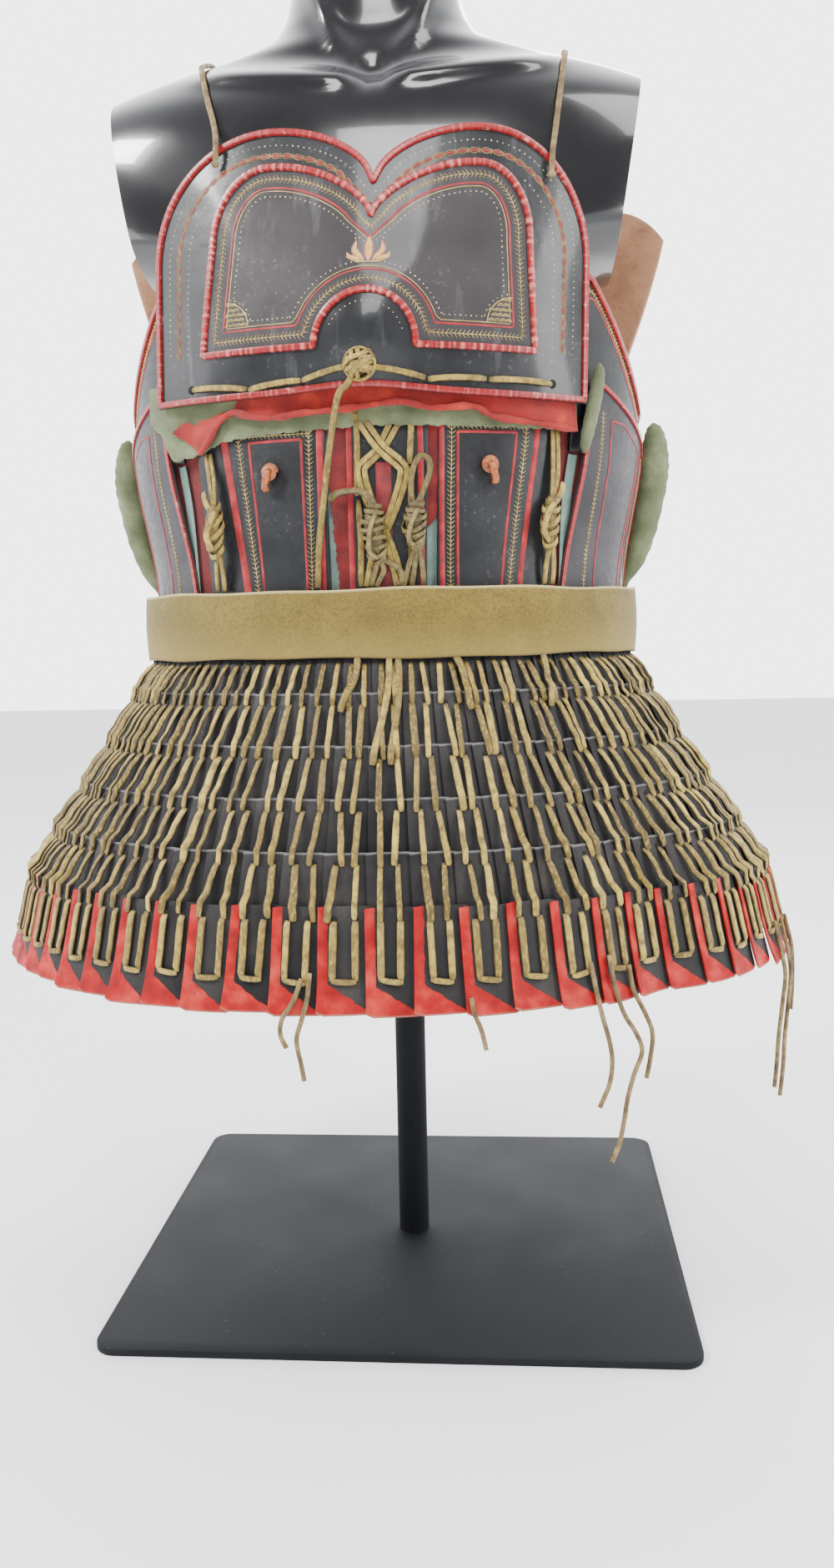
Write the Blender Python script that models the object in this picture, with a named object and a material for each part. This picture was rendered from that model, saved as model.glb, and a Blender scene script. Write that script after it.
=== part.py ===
"""Lamellar armour on a torso display form: lacquered rawhide plates, wool bands, a belt and a laced skirt.

Metres, +Z up. The wearer's front faces -Y. The origin is on the floor, under the middle of the armour.
Angles run round the body from the front, and grow towards +X.
"""

from collections import namedtuple
from math import cos, exp, pi, radians, sin, sqrt

import bmesh
import bpy
from mathutils import Vector

# Fits
SEAM = 0.0003
TOUCH = 0.0005
FACET = 0.0009

# Stand
BASE_WIDTH = 0.480
BASE_DEPTH = 0.430
BASE_THICK = 0.006
BASE_CORNER = 0.018
STAND_X = 0.010
POST_RADIUS = 0.0138
FORM_BOTTOM = 0.430
STUB_X = 0.217
STUB_Z = 1.000
STUB_TILT = 8.7
FORM_SIDES = 28

# Walls
HIDE = 0.003
WOOL = 0.0020
RIM_WIDTH = 0.0070
RIM_HEIGHT = 0.0022
RIDGE_WIDTH = 0.0060
RIDGE_HEIGHT = 0.0024

# Breast plate
Lobe = namedtuple("Lobe", "x z rise notch power")

BREAST_HALF = 0.1715
BREAST_BOTTOM = 0.741
BREAST_LOBE = Lobe(0.0835, 0.8485, 0.0950, 0.9007, 0.515)
PANEL_HALF = 0.1290
PANEL_LEAN = 0.0066
PANEL_BOTTOM = 0.7766
PANEL_LOBE = Lobe(0.0817, 0.8595, 0.0544, 0.8723, 0.615)
ARCH_HALF = 0.0386
ARCH_RISE = 0.0392
HANG_TURN = 1.15
HANG_PIVOT = 0.855
MIDDLE_SHIFT = 0.0057
MIDDLE_LEAN = 0.045
BULGE_DEPTH = 0.009
BULGE_RADIUS = 0.034
BULGE_Z = 0.788

# Plates round the waist and under the arms: angles and heights of their edges
WAIST_LOW = 0.536
WAIST_HIGH = 0.766
BACK_WAIST_HIGH = 0.754
PLACKET_ANGLES = (-4.6, 12.2)
FRONT_ANGLES = {"left": (-41.0, -9.0), "right": (14.4, 43.0)}
BACK_ANGLES = {"left": (-152.0, -112.0), "centre": (153.0, 207.0), "right": (112.0, 152.0)}
SIDE_ANGLE_LOW = 51.5
SIDE_APEX = 54.0
SIDE_ANGLE_HIGH = 91.0
SIDE_LEAN = 34.0
SIDE_TOPS = {"front": 0.746, "apex": 0.760, "back": 0.706}
UNDERARM_LOW = 0.702
UNDERARM_ANGLES = {"front": 46.0, "crest": 55.0, "side": 90.0, "back": 99.0}
UNDERARM_TOPS = {"front": 0.831, "crest": 0.843, "side": 0.745, "back": 0.737}

# Wool bands and strips
GREEN_ANGLES = (-56.0, 47.0)
GREEN_LOW = 0.713
GREEN_HIGH = 0.764
GREEN_DROP = 0.024
RED_ANGLES = (-38.0, 46.0)
RED_LOW = 0.728
RED_HIGH = 0.768
RED_WAVE = 0.003
RED_TAIL = 0.020
RED_ROLL = 0.002
STRIP_LOW = 0.545
STRIP_HIGH = 0.760
SIDE_STRIP_HIGH = 0.755
STRIP_ANGLES = {"left": (-10.0, -3.6), "right": (11.2, 15.4)}
SIDE_STRIP_ANGLES = (41.5, 53.0)

# Belt
BELT_LOW = 0.5420
BELT_HIGH = 0.5970
BELT_THICK = 0.0050
BELT_HALF_WIDTH = 0.2165
BELT_DEPTH = 0.1545

# Skirt
LAMELLAE = 60
LAP_ANGLE = 360 / LAMELLAE
ROW_TALL = 0.060
LAMELLA_THIN = 0.0020
LAMELLA_THICK = 0.0042
PLEAT_ANGLE = 41.0
PLEAT_SPREAD = 7.0
PLEAT_DEPTH = 0.012

# Thongs
CORD_RADIUS = 0.0022
THONG_RADIUS = 0.0018

Section = namedtuple("Section", "z half_width front back")
Wing = namedtuple("Wing", "z half_width centre edge")

FORM_SECTIONS = (
    Section(FORM_BOTTOM, 0.132, 0.090, 0.090),
    Section(0.440, 0.147, 0.103, 0.103),
    Section(0.520, 0.148, 0.107, 0.105),
    Section(0.600, 0.132, 0.098, 0.096),
    Section(0.680, 0.138, 0.102, 0.099),
    Section(0.760, 0.152, 0.109, 0.104),
    Section(0.820, 0.165, 0.115, 0.108),
    Section(0.850, 0.176, 0.117, 0.110),
    Section(0.864, 0.215, 0.115, 0.109),
    Section(0.885, 0.262, 0.111, 0.108),
    Section(0.920, 0.292, 0.106, 0.105),
    Section(0.955, 0.300, 0.100, 0.101),
    Section(0.985, 0.282, 0.091, 0.094),
    Section(1.008, 0.232, 0.079, 0.084),
    Section(1.028, 0.165, 0.068, 0.074),
    Section(1.044, 0.105, 0.063, 0.068),
    Section(1.062, 0.081, 0.062, 0.065),
    Section(1.090, 0.0715, 0.060, 0.062),
    Section(1.120, 0.0715, 0.060, 0.062),
)

# Inner faces of the plates round the waist and under the arms
WAIST_SECTIONS = (
    Section(0.535, 0.2005, 0.1385, 0.1385),
    Section(0.600, 0.2020, 0.1390, 0.1370),
    Section(0.660, 0.2080, 0.1390, 0.1330),
    Section(0.710, 0.2140, 0.1370, 0.1290),
    Section(0.768, 0.2150, 0.1330, 0.1240),
    Section(0.810, 0.2125, 0.1300, 0.1225),
    Section(0.862, 0.2050, 0.1240, 0.1210),
)

# Inner faces of the lamellae at the top of each row, and at the hem
SKIRT_SECTIONS = (
    Section(0.548, 0.2042, 0.1422, 0.1422),
    Section(0.517, 0.2225, 0.1625, 0.1625),
    Section(0.478, 0.2460, 0.1830, 0.1830),
    Section(0.440, 0.2715, 0.2005, 0.2005),
    Section(0.402, 0.2980, 0.2155, 0.2155),
    Section(0.364, 0.3235, 0.2290, 0.2290),
    Section(0.287, 0.3430, 0.2450, 0.2450),
)

# Outer face of the breast plate: depth at its middle and at its edges
BREAST_DEPTHS = (
    Wing(0.740, BREAST_HALF, 0.1540, 0.1000),
    Wing(0.780, BREAST_HALF, 0.1560, 0.0990),
    Wing(0.820, BREAST_HALF, 0.1540, 0.0980),
    Wing(0.860, BREAST_HALF, 0.1475, 0.0970),
    Wing(0.905, BREAST_HALF, 0.1390, 0.0960),
    Wing(0.950, BREAST_HALF, 0.1300, 0.0930),
)

# Inner face of the back plate
BACK_DEPTHS = (
    Wing(0.700, 0.178, 0.1345, 0.0830),
    Wing(0.760, 0.197, 0.1370, 0.0860),
    Wing(0.810, 0.2185, 0.1400, 0.0950),
    Wing(0.870, 0.240, 0.1420, 0.1060),
    Wing(0.920, 0.254, 0.1400, 0.1130),
    Wing(0.950, 0.257, 0.1370, 0.1150),
)


def clear_scene():
    for found in list(bpy.data.objects):
        bpy.data.objects.remove(found)


def finish(name, colour, roughness, metallic=0.0):
    material = bpy.data.materials.new(name)
    material.use_nodes = True
    shader = material.node_tree.nodes["Principled BSDF"]
    shader.inputs["Base Color"].default_value = (*colour, 1.0)
    shader.inputs["Roughness"].default_value = roughness
    shader.inputs["Metallic"].default_value = metallic
    return material


def add_object(name, bm, material):
    bmesh.ops.recalc_face_normals(bm, faces=bm.faces)
    mesh = bpy.data.meshes.new(name)
    bm.to_mesh(mesh)
    bm.free()
    mesh.shade_smooth()
    mesh.set_sharp_from_angle(angle=radians(35))
    mesh.materials.append(material)
    made = bpy.data.objects.new(name, mesh)
    bpy.context.scene.collection.objects.link(made)
    return made


def between(table, z):
    """The table's row at height z, worked out in a straight line between the rows above and below."""
    rows = sorted(table)
    z = min(max(z, rows[0].z), rows[-1].z)
    for low, high in zip(rows, rows[1:]):
        if z <= high.z:
            part = (z - low.z) / (high.z - low.z)
            return type(low)(*(a + (b - a) * part for a, b in zip(low, high)))
    return rows[-1]


def round_body(section, angle, out=0.0):
    """The point at this angle on a level section, moved out."""
    turn = radians(angle)
    depth = section.front if cos(turn) > 0 else section.back
    return Vector(
        ((section.half_width + out) * sin(turn), -(depth + out) * cos(turn), section.z)
    )


def spread(low, high, steps):
    return [low + (high - low) * i / steps for i in range(steps + 1)]


def wall(name, outer, inner, material, ring=False):
    """One closed wall between two grids of points with the same rows and columns."""
    bm = bmesh.new()
    out_rows = [[bm.verts.new(point) for point in row] for row in outer]
    in_rows = [[bm.verts.new(point) for point in row] for row in inner]
    columns = len(outer[0])
    pairs = [(c, (c + 1) % columns) for c in range(columns if ring else columns - 1)]
    for rows in (out_rows, in_rows):
        for low, high in zip(rows, rows[1:]):
            for a, b in pairs:
                bm.faces.new((low[a], low[b], high[b], high[a]))
    for row in (0, -1):
        for a, b in pairs:
            bm.faces.new((out_rows[row][a], out_rows[row][b], in_rows[row][b], in_rows[row][a]))
    if not ring:
        for column in (0, -1):
            for row in range(len(outer) - 1):
                bm.faces.new(
                    (
                        out_rows[row][column],
                        out_rows[row + 1][column],
                        in_rows[row + 1][column],
                        in_rows[row][column],
                    )
                )
    return add_object(name, bm, material)


def loft(rings):
    """A solid through closed rings of points, with flat ends."""
    bm = bmesh.new()
    made = [[bm.verts.new(point) for point in ring] for ring in rings]
    for low, high in zip(made, made[1:]):
        for i in range(len(low)):
            j = (i + 1) % len(low)
            bm.faces.new((low[i], low[j], high[j], high[i]))
    bm.faces.new(made[0])
    bm.faces.new(made[-1])
    return bm


def smooth_route(points, steps):
    """A smooth curve through the points, with this many steps between each two."""
    points = [Vector(p) for p in points]
    ends = [2 * points[0] - points[1], *points, 2 * points[-1] - points[-2]]
    route = []
    for a, b, c, d in zip(ends, ends[1:], ends[2:], ends[3:]):
        for step in range(steps):
            t = step / steps
            route.append(
                0.5
                * (2 * b + (c - a) * t + (2 * a - 5 * b + 4 * c - d) * t**2 + (3 * b - a - 3 * c + d) * t**3)
            )
    route.append(points[-1])
    return route


def cord(name, route, radius, material, swell=None):
    """A round cord along a route; swell gives the radius of each point as a share of the cord's."""
    curve = bpy.data.curves.new(name, "CURVE")
    curve.dimensions = "3D"
    curve.bevel_depth = radius
    curve.bevel_resolution = 2
    curve.use_fill_caps = True
    spline = curve.splines.new("POLY")
    spline.points.add(len(route) - 1)
    for i, point in enumerate(route):
        spline.points[i].co = (*point, 1.0)
        spline.points[i].radius = swell[i] if swell else 1.0
    curve.materials.append(material)
    made = bpy.data.objects.new(name, curve)
    bpy.context.scene.collection.objects.link(made)
    return made


# Stand


def make_base(material):
    bm = bmesh.new()
    bmesh.ops.create_cube(bm, size=1.0)
    bmesh.ops.scale(bm, vec=(BASE_WIDTH, BASE_DEPTH, BASE_THICK), verts=bm.verts)
    bmesh.ops.translate(bm, vec=(STAND_X, 0, BASE_THICK / 2), verts=bm.verts)
    upright = [e for e in bm.edges if abs(e.verts[0].co.z - e.verts[1].co.z) > BASE_THICK / 2]
    bmesh.ops.bevel(
        bm,
        geom=upright,
        offset=BASE_CORNER,
        segments=6,
        profile=0.5,
        affect="EDGES",
        material=-1,
    )
    add_object("base_plate", bm, material)


def make_post(material):
    low = BASE_THICK + SEAM
    high = FORM_BOTTOM - SEAM
    bm = bmesh.new()
    bmesh.ops.create_cone(
        bm, cap_ends=True, segments=20, radius1=POST_RADIUS, radius2=POST_RADIUS, depth=high - low
    )
    bmesh.ops.translate(bm, vec=(STAND_X, 0, (low + high) / 2), verts=bm.verts)
    add_object("post", bm, material)


def make_form(material):
    """A smooth torso of level sections, whose shoulders are cut flat."""
    angles = spread(0, 360, FORM_SIDES)[:-1]
    rings = [[round_body(section, angle) for angle in angles] for section in FORM_SECTIONS]
    bm = loft(rings)
    tilt = radians(STUB_TILT)
    for side in (-1, 1):
        cut = bmesh.ops.bisect_plane(
            bm,
            geom=bm.verts[:] + bm.edges[:] + bm.faces[:],
            plane_co=(side * STUB_X, 0, STUB_Z),
            plane_no=(side * cos(tilt), 0, -sin(tilt)),
            clear_outer=True,
        )
        edges = [part for part in cut["geom_cut"] if isinstance(part, bmesh.types.BMEdge)]
        bmesh.ops.contextual_create(bm, geom=edges)
    add_object("torso_form", bm, material)


def form_depth(x, z, back=False):
    """How far the form's face stands from its middle plane at x and z."""
    section = between(FORM_SECTIONS, z)
    depth = section.back if back else section.front
    return depth * sqrt(max(0.0, 1 - (x / section.half_width) ** 2))


def form_top(x):
    """The height of the form's ridge at x, over the shoulder."""
    rows = [row for row in FORM_SECTIONS if row.z > STUB_Z]
    for low, high in zip(rows, rows[1:]):
        if high.half_width <= x:
            return low.z + (high.z - low.z) * (low.half_width - x) / (low.half_width - high.half_width)
    return rows[-1].z


# Breast plate


def lobe_top(lobe, half_width, x):
    """A two-lobed upper edge: round outside, and drawn down to a point in the middle."""
    x = abs(x)
    if x > lobe.x:
        return lobe.z + lobe.rise * sqrt(max(0.0, 1 - ((x - lobe.x) / (half_width - lobe.x)) ** 2))
    return lobe.notch + (lobe.z + lobe.rise - lobe.notch) * sin(pi / 2 * x / lobe.x) ** lobe.power


def breast_top(x):
    return lobe_top(BREAST_LOBE, BREAST_HALF, x)


def breast_bottom(x):
    return BREAST_BOTTOM + 0.005 * exp(-((x / 0.05) ** 2))


def breast_face(x, z, out=0.0):
    """The plate's outer face, moved out, as it hangs: its right side lower, its middle to the right.

    It swells under the arch of the panel. x and z are the place on the plate before it is hung.
    """
    row = between(BREAST_DEPTHS, z)
    share = 1 - (x / row.half_width) ** 2
    reach = (x / BULGE_RADIUS) ** 2 + ((z - BULGE_Z) / BULGE_RADIUS) ** 2
    depth = row.edge + (row.centre - row.edge) * share + BULGE_DEPTH * exp(-reach)
    turn = radians(HANG_TURN)
    moved = x + (MIDDLE_SHIFT + MIDDLE_LEAN * (z - HANG_PIVOT)) * share
    risen = z - HANG_PIVOT
    return Vector(
        (
            moved * cos(turn) + risen * sin(turn),
            -(depth + out),
            HANG_PIVOT - moved * sin(turn) + risen * cos(turn),
        )
    )


def breast_columns():
    middle = BREAST_LOBE.x
    inner = [middle * t**1.4 for t in spread(0, 1, 7)[1:]]
    outer = [middle + (BREAST_HALF - middle) * sin(t * pi / 2) for t in spread(0, 1, 6)[1:]]
    half = inner + outer
    return [-x for x in reversed(half)] + [0.0] + half


def make_breast_plate(material):
    columns = breast_columns()
    faces = []
    for out in (0.0, -HIDE):
        rows = []
        for part in spread(0, 1, 7):
            row = []
            for x in columns:
                z = breast_bottom(x) + (breast_top(x) - breast_bottom(x)) * part
                row.append(breast_face(x, z, out))
            rows.append(row)
        faces.append(rows)
    wall("breast_plate", faces[0], faces[1], material)


def both_sides(half):
    """A closed outline from its right half, listed from the bottom middle to the top middle."""
    return half + [(-x, z) for x, z in reversed(half) if abs(x) > 1e-6]


def lobe_outline(half_width, lean, bottom, lobe, steps):
    """The right half of a lobed outline, from its lower corner up to the notch."""
    points = []
    for part in spread(0, 1, 3)[:-1]:
        points.append((half_width - lean * part, bottom + (lobe.z - bottom) * part))
    wide = half_width - lean - lobe.x
    for turn in spread(0, pi / 2, steps):
        points.append((lobe.x + wide * cos(turn), lobe.z + lobe.rise * sin(turn)))
    for part in spread(1, 0, steps)[1:]:
        x = lobe.x * part**1.3
        points.append((x, lobe_top(lobe, half_width - lean, x)))
    return points


def strip(name, path, width, height, face, material):
    """A closed raised strip that follows a path of (x, z) on a face, FACET in front of it."""
    rings = []
    count = len(path)
    for i in range(count):
        before = Vector(path[i - 1])
        here = Vector(path[i])
        after = Vector(path[(i + 1) % count])
        ahead = (after - here).normalized()
        behind = (here - before).normalized()
        along = (ahead + behind).normalized()
        across = Vector((along.y, -along.x))
        mitre = min(1.35, 1 / max(0.6, along.dot(ahead)))
        ring = []
        for side, lift in ((-0.5, 0), (-0.32, 1), (0.32, 1), (0.5, 0)):
            x, z = here + across * (side * width * mitre)
            ring.append(face(x, z, FACET + lift * height))
        rings.append(ring)
    bm = bmesh.new()
    made = [[bm.verts.new(point) for point in ring] for ring in rings]
    for i, low in enumerate(made):
        high = made[(i + 1) % count]
        for k in range(4):
            m = (k + 1) % 4
            bm.faces.new((low[k], low[m], high[m], high[k]))
    add_object(name, bm, material)


def make_breast_trim(red):
    inset = RIM_WIDTH / 2
    outline = [(x, breast_bottom(x) + inset) for x in spread(0, BREAST_HALF - inset, 8)[:-1]]
    lobe = BREAST_LOBE._replace(
        rise=BREAST_LOBE.rise - inset, notch=BREAST_LOBE.notch - inset * 1.4
    )
    outline += lobe_outline(BREAST_HALF - inset, 0.0, BREAST_BOTTOM + inset, lobe, 9)
    strip("breast_rim", both_sides(outline), RIM_WIDTH, RIM_HEIGHT, breast_face, red)
    panel = []
    for turn in spread(pi / 2, 0, 7):
        panel.append((ARCH_HALF * cos(turn), PANEL_BOTTOM + ARCH_RISE * sin(turn)))
    panel += [(x, PANEL_BOTTOM) for x in spread(ARCH_HALF, PANEL_HALF, 4)[1:-1]]
    panel += lobe_outline(PANEL_HALF, PANEL_LEAN, PANEL_BOTTOM, PANEL_LOBE, 8)
    strip("panel_ridge", both_sides(panel), RIDGE_WIDTH, RIDGE_HEIGHT, breast_face, red)


# Back plate


def back_y(x, z, out=0.0):
    row = between(BACK_DEPTHS, z)
    return row.centre - (row.centre - row.edge) * min(1.2, (x / row.half_width) ** 2) + out


def back_top(u):
    return BACK_DEPTHS[-1].z - 0.030 * max(0.0, (abs(u) - 0.80) / 0.20) ** 2.2


def make_back_plate(hide, red):
    shares = spread(-1, 1, 16)
    low = BACK_DEPTHS[0].z
    faces = []
    for out in (HIDE, 0.0):
        rows = []
        for part in spread(0, 1, 6):
            row = []
            for u in shares:
                z = low + (back_top(u) - low) * part
                x = u * between(BACK_DEPTHS, z).half_width
                row.append((x, back_y(x, z, out), z))
            rows.append(row)
        faces.append(rows)
    wall("back_plate", faces[0], faces[1], hide)
    inset = RIM_WIDTH / 2

    def edge_point(u, z):
        return u * (between(BACK_DEPTHS, z).half_width - inset), z

    half = [edge_point(u, low + inset) for u in spread(0, 1, 8)]
    half += [edge_point(1, z) for z in spread(low + inset, back_top(1) - inset, 6)[1:]]
    half += [edge_point(u, back_top(u) - inset) for u in spread(1, 0, 9)[1:]]

    def back_face(x, z, out):
        return Vector((x, back_y(x, z, HIDE + out), z))

    strip("back_rim", both_sides(half), RIM_WIDTH, RIM_HEIGHT, back_face, red)


# Plates round the waist


def plate(name, angles, low_at, high_at, rows, thick, material, lift_at=None, lean=0.0):
    """A curved plate between two heights that may change with the angle, as may how far out it lies.

    A lean turns its front edge by so many degrees a metre, from none at the side plates' tops.
    """
    faces = []
    for wall_out in (thick, 0.0):
        grid = []
        for part in spread(0, 1, rows):
            row = []
            for angle in angles:
                z = low_at(angle) + (high_at(angle) - low_at(angle)) * part
                out = wall_out + (lift_at(angle, z) if lift_at else 0.0)
                share = (angles[-1] - angle) / (angles[-1] - angles[0])
                turned = angle + lean * share * (z - SIDE_TOPS["apex"])
                row.append(round_body(between(WAIST_SECTIONS, z), turned, out))
            grid.append(row)
        faces.append(grid)
    wall(name, faces[0], faces[1], material)


def level(z):
    return lambda angle: z


def lifted(out):
    return lambda angle, z: out


def eased(low, high, value):
    part = min(1.0, max(0.0, (value - low) / (high - low)))
    return part * part * (3 - 2 * part)


def side_lift(angle, z):
    """The side plates lie on the plates under the arms above, and run in behind the belt below."""
    return (HIDE + FACET) * eased(BELT_HIGH + 0.018, UNDERARM_LOW - 0.012, z)


def side_top(angle):
    """The side plate's upper edge: a point towards the front, sloping down to the back."""
    angle = abs(angle)
    apex = SIDE_TOPS["apex"]
    if angle < SIDE_APEX:
        part = (SIDE_APEX - angle) / (SIDE_APEX - SIDE_ANGLE_LOW)
        return apex + (SIDE_TOPS["front"] - apex) * part
    part = (angle - SIDE_APEX) / (SIDE_ANGLE_HIGH - SIDE_APEX)
    return apex + (SIDE_TOPS["back"] - apex) * part


def underarm_top(angle):
    """The upper edge under the arm: it rises from the breast plate, then is cut away to the back."""
    angle = abs(angle)
    at, tops = UNDERARM_ANGLES, UNDERARM_TOPS
    if angle < at["crest"]:
        part = (at["crest"] - angle) / (at["crest"] - at["front"])
        return tops["crest"] + (tops["front"] - tops["crest"]) * part
    if angle < at["side"]:
        part = sin(pi / 2 * (angle - at["crest"]) / (at["side"] - at["crest"]))
        return tops["crest"] + (tops["side"] - tops["crest"]) * part
    part = (angle - at["side"]) / (at["back"] - at["side"])
    return tops["side"] + (tops["back"] - tops["side"]) * part


def make_waist(lacquer):
    plate(
        "placket", spread(*PLACKET_ANGLES, 3), level(WAIST_LOW), level(WAIST_HIGH),
        4, HIDE, lacquer,
    )
    for side, (low, high) in FRONT_ANGLES.items():
        plate(
            f"front_plate_{side}", spread(low, high, 6), level(WAIST_LOW), level(WAIST_HIGH),
            4, HIDE, lacquer,
        )
    for side, sign in (("left", -1), ("right", 1)):
        edges = [SIDE_ANGLE_LOW] + spread(SIDE_APEX, SIDE_ANGLE_HIGH, 7)
        plate(
            f"side_plate_{side}", [sign * a for a in edges], level(WAIST_LOW), side_top,
            6, HIDE, lacquer, side_lift, sign * SIDE_LEAN,
        )
    for side, (low, high) in BACK_ANGLES.items():
        plate(
            f"back_waist_{side}", spread(low, high, 8), level(WAIST_LOW), level(BACK_WAIST_HIGH),
            4, HIDE, lacquer,
        )


def make_underarm(lacquer, red):
    for side, sign in (("left", -1), ("right", 1)):
        ends = UNDERARM_ANGLES
        angles = [sign * a for a in spread(ends["front"], ends["back"], 12)]
        plate(
            f"underarm_plate_{side}", angles, level(UNDERARM_LOW), underarm_top, 4, HIDE, lacquer,
        )
        plate(
            f"underarm_rim_{side}", angles, lambda a: underarm_top(a) - RIM_WIDTH, underarm_top,
            1, RIM_HEIGHT, red, lifted(HIDE + TOUCH),
        )


# Cloth


def make_bands(red, green):
    plate(
        "green_band", spread(*GREEN_ANGLES, 20), green_low, level(GREEN_HIGH), 2, WOOL, green,
        green_lift,
    )
    plate(
        "red_band", spread(*RED_ANGLES, 20), red_low, level(RED_HIGH), 2, WOOL, red, red_lift,
    )


def green_lift(angle, z):
    """The band lies on the front plates, and passes over the left side plate at its end."""
    return HIDE + TOUCH + (HIDE + 2 * FACET) * eased(40, 47, -angle)


def red_lift(angle, z):
    """The red band lies on the green one, and its lower edge rolls out."""
    return HIDE + WOOL + 2 * TOUCH + RED_ROLL * (1 - eased(RED_LOW, RED_LOW + 0.014, z))


def green_low(angle):
    """The green band hangs lower at its left end."""
    return GREEN_LOW - GREEN_DROP * eased(36, 52, -angle)


def red_low(angle):
    """The red band's wavy lower edge, drawn down at its left end."""
    tail = exp(-(((angle - RED_ANGLES[0]) / 5) ** 2))
    return RED_LOW + RED_WAVE * sin(radians(angle * 7)) - RED_TAIL * tail


def make_strips(red):
    """Cloth strips that show between the plates, against their inner faces."""
    behind = lifted(-WOOL - TOUCH)
    for side, (low, high) in STRIP_ANGLES.items():
        plate(
            f"red_strip_{side}", spread(low, high, 2), level(STRIP_LOW), level(STRIP_HIGH),
            4, WOOL, red, behind,
        )
    for side, sign in (("left", -1), ("right", 1)):
        angles = [sign * a for a in spread(*SIDE_STRIP_ANGLES, 4)]
        plate(
            f"side_strip_{side}", angles, level(STRIP_LOW), level(SIDE_STRIP_HIGH),
            4, WOOL, red, behind,
        )


Roll = namedtuple("Roll", "z angle out radius")

# Padded green edges behind the side plates, and the small ones beside the breast plate
LONG_ROLL = (
    Roll(0.565, 93.2, 0.0020, 0.0040),
    Roll(0.598, 93.2, 0.0035, 0.0045),
    Roll(0.622, 93.2, 0.0130, 0.0090),
    Roll(0.650, 93.2, 0.0180, 0.0120),
    Roll(0.685, 93.2, 0.0205, 0.0130),
    Roll(0.705, 93.2, 0.0205, 0.0125),
    Roll(0.725, 93.2, 0.0195, 0.0095),
    Roll(0.738, 93.2, 0.0180, 0.0045),
)
SHORT_ROLL = (
    Roll(0.700, 47.9, 0.0113, 0.0035),
    Roll(0.714, 48.4, 0.0124, 0.0050),
    Roll(0.735, 49.9, 0.0129, 0.0055),
    Roll(0.755, 51.4, 0.0129, 0.0055),
    Roll(0.770, 52.3, 0.0125, 0.0038),
)


def roll(name, table, sign, green):
    route = [round_body(between(WAIST_SECTIONS, r.z), sign * r.angle, r.out) for r in table]
    widest = max(r.radius for r in table)
    cord(name, route, widest, green, [r.radius / widest for r in table])


def make_rolls(green):
    roll("green_roll_left", LONG_ROLL, -1, green)
    roll("green_roll_right", LONG_ROLL, 1, green)
    roll("small_roll_right", SHORT_ROLL, 1, green)


# Belt and skirt


def make_belt(suede):
    angles = spread(0, 360, 60)[:-1]
    faces = []
    for inward in (0.0, BELT_THICK):
        rows = []
        for z in (BELT_LOW, BELT_HIGH):
            section = Section(z, BELT_HALF_WIDTH - inward, BELT_DEPTH - inward, BELT_DEPTH - inward)
            rows.append([round_body(section, angle) for angle in angles])
        faces.append(rows)
    wall("belt", faces[0], faces[1], suede, ring=True)


Row = namedtuple("Row", "top bottom")


def along_row(row, z):
    part = (row.top.z - z) / (row.top.z - row.bottom.z)
    return Section(*(a + (b - a) * part for a, b in zip(row.top, row.bottom)))


def skirt_rows():
    """Each row's inner face as its top and bottom section, from the hem up.

    A row hangs inside the one below it, so both its own foot and the stretch that the next row's
    upper edge covers stay one thick lamella and a seam inside that row.
    """
    rows = [Row(SKIRT_SECTIONS[-2], SKIRT_SECTIONS[-1])]
    room = LAMELLA_THICK + TOUCH
    for top in reversed(SKIRT_SECTIONS[:-2]):
        below = rows[0]
        foot = top.z - ROW_TALL
        covered = along_row(below, foot)
        sizes = []
        for own, edge, end in zip(top[1:], below.top[1:], covered[1:]):
            by_edge = own + (edge - room - own) * (top.z - foot) / (top.z - below.top.z)
            sizes.append(min(by_edge, end - room))
        rows.insert(0, Row(top, Section(foot, *sizes)))
    return rows


def pleat(angle, z):
    """How far the skirt is drawn in at its one soft pleat, from nothing at the waist."""
    fall = (SKIRT_SECTIONS[0].z - z) / (SKIRT_SECTIONS[0].z - SKIRT_SECTIONS[-1].z)
    turn = (angle + 180) % 360 - 180
    return -PLEAT_DEPTH * fall * exp(-(((turn - PLEAT_ANGLE) / PLEAT_SPREAD) ** 2))


def make_skirt(lacquer):
    """Rows of overlapped lamellae: each one's left edge lies on its neighbour's right edge."""
    angles = spread(0, 360, LAMELLAE)[:-1]
    for number, row in enumerate(skirt_rows(), start=1):
        bm = bmesh.new()
        ends = []
        for section in (row.top, row.bottom):
            inner, low, high = [], [], []
            for angle in angles:
                drawn = pleat(angle, section.z)
                inner.append(bm.verts.new(round_body(section, angle, drawn)))
                low.append(bm.verts.new(round_body(section, angle, drawn + LAMELLA_THIN)))
                high.append(bm.verts.new(round_body(section, angle, drawn + LAMELLA_THICK)))
            ends.append((inner, low, high))
        (top_in, top_low, top_high), (foot_in, foot_low, foot_high) = ends
        for i in range(LAMELLAE):
            j = (i + 1) % LAMELLAE
            bm.faces.new((top_in[i], top_in[j], foot_in[j], foot_in[i]))
            bm.faces.new((top_high[i], top_low[j], foot_low[j], foot_high[i]))
            bm.faces.new((top_low[i], top_high[i], foot_high[i], foot_low[i]))
            for inner, low, high in ends:
                bm.faces.new((inner[i], inner[j], low[j], high[i]))
                bm.faces.new((inner[i], low[i], high[i]))
        add_object(f"skirt_row_{number}", bm, lacquer)


# Thongs and cords


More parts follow.
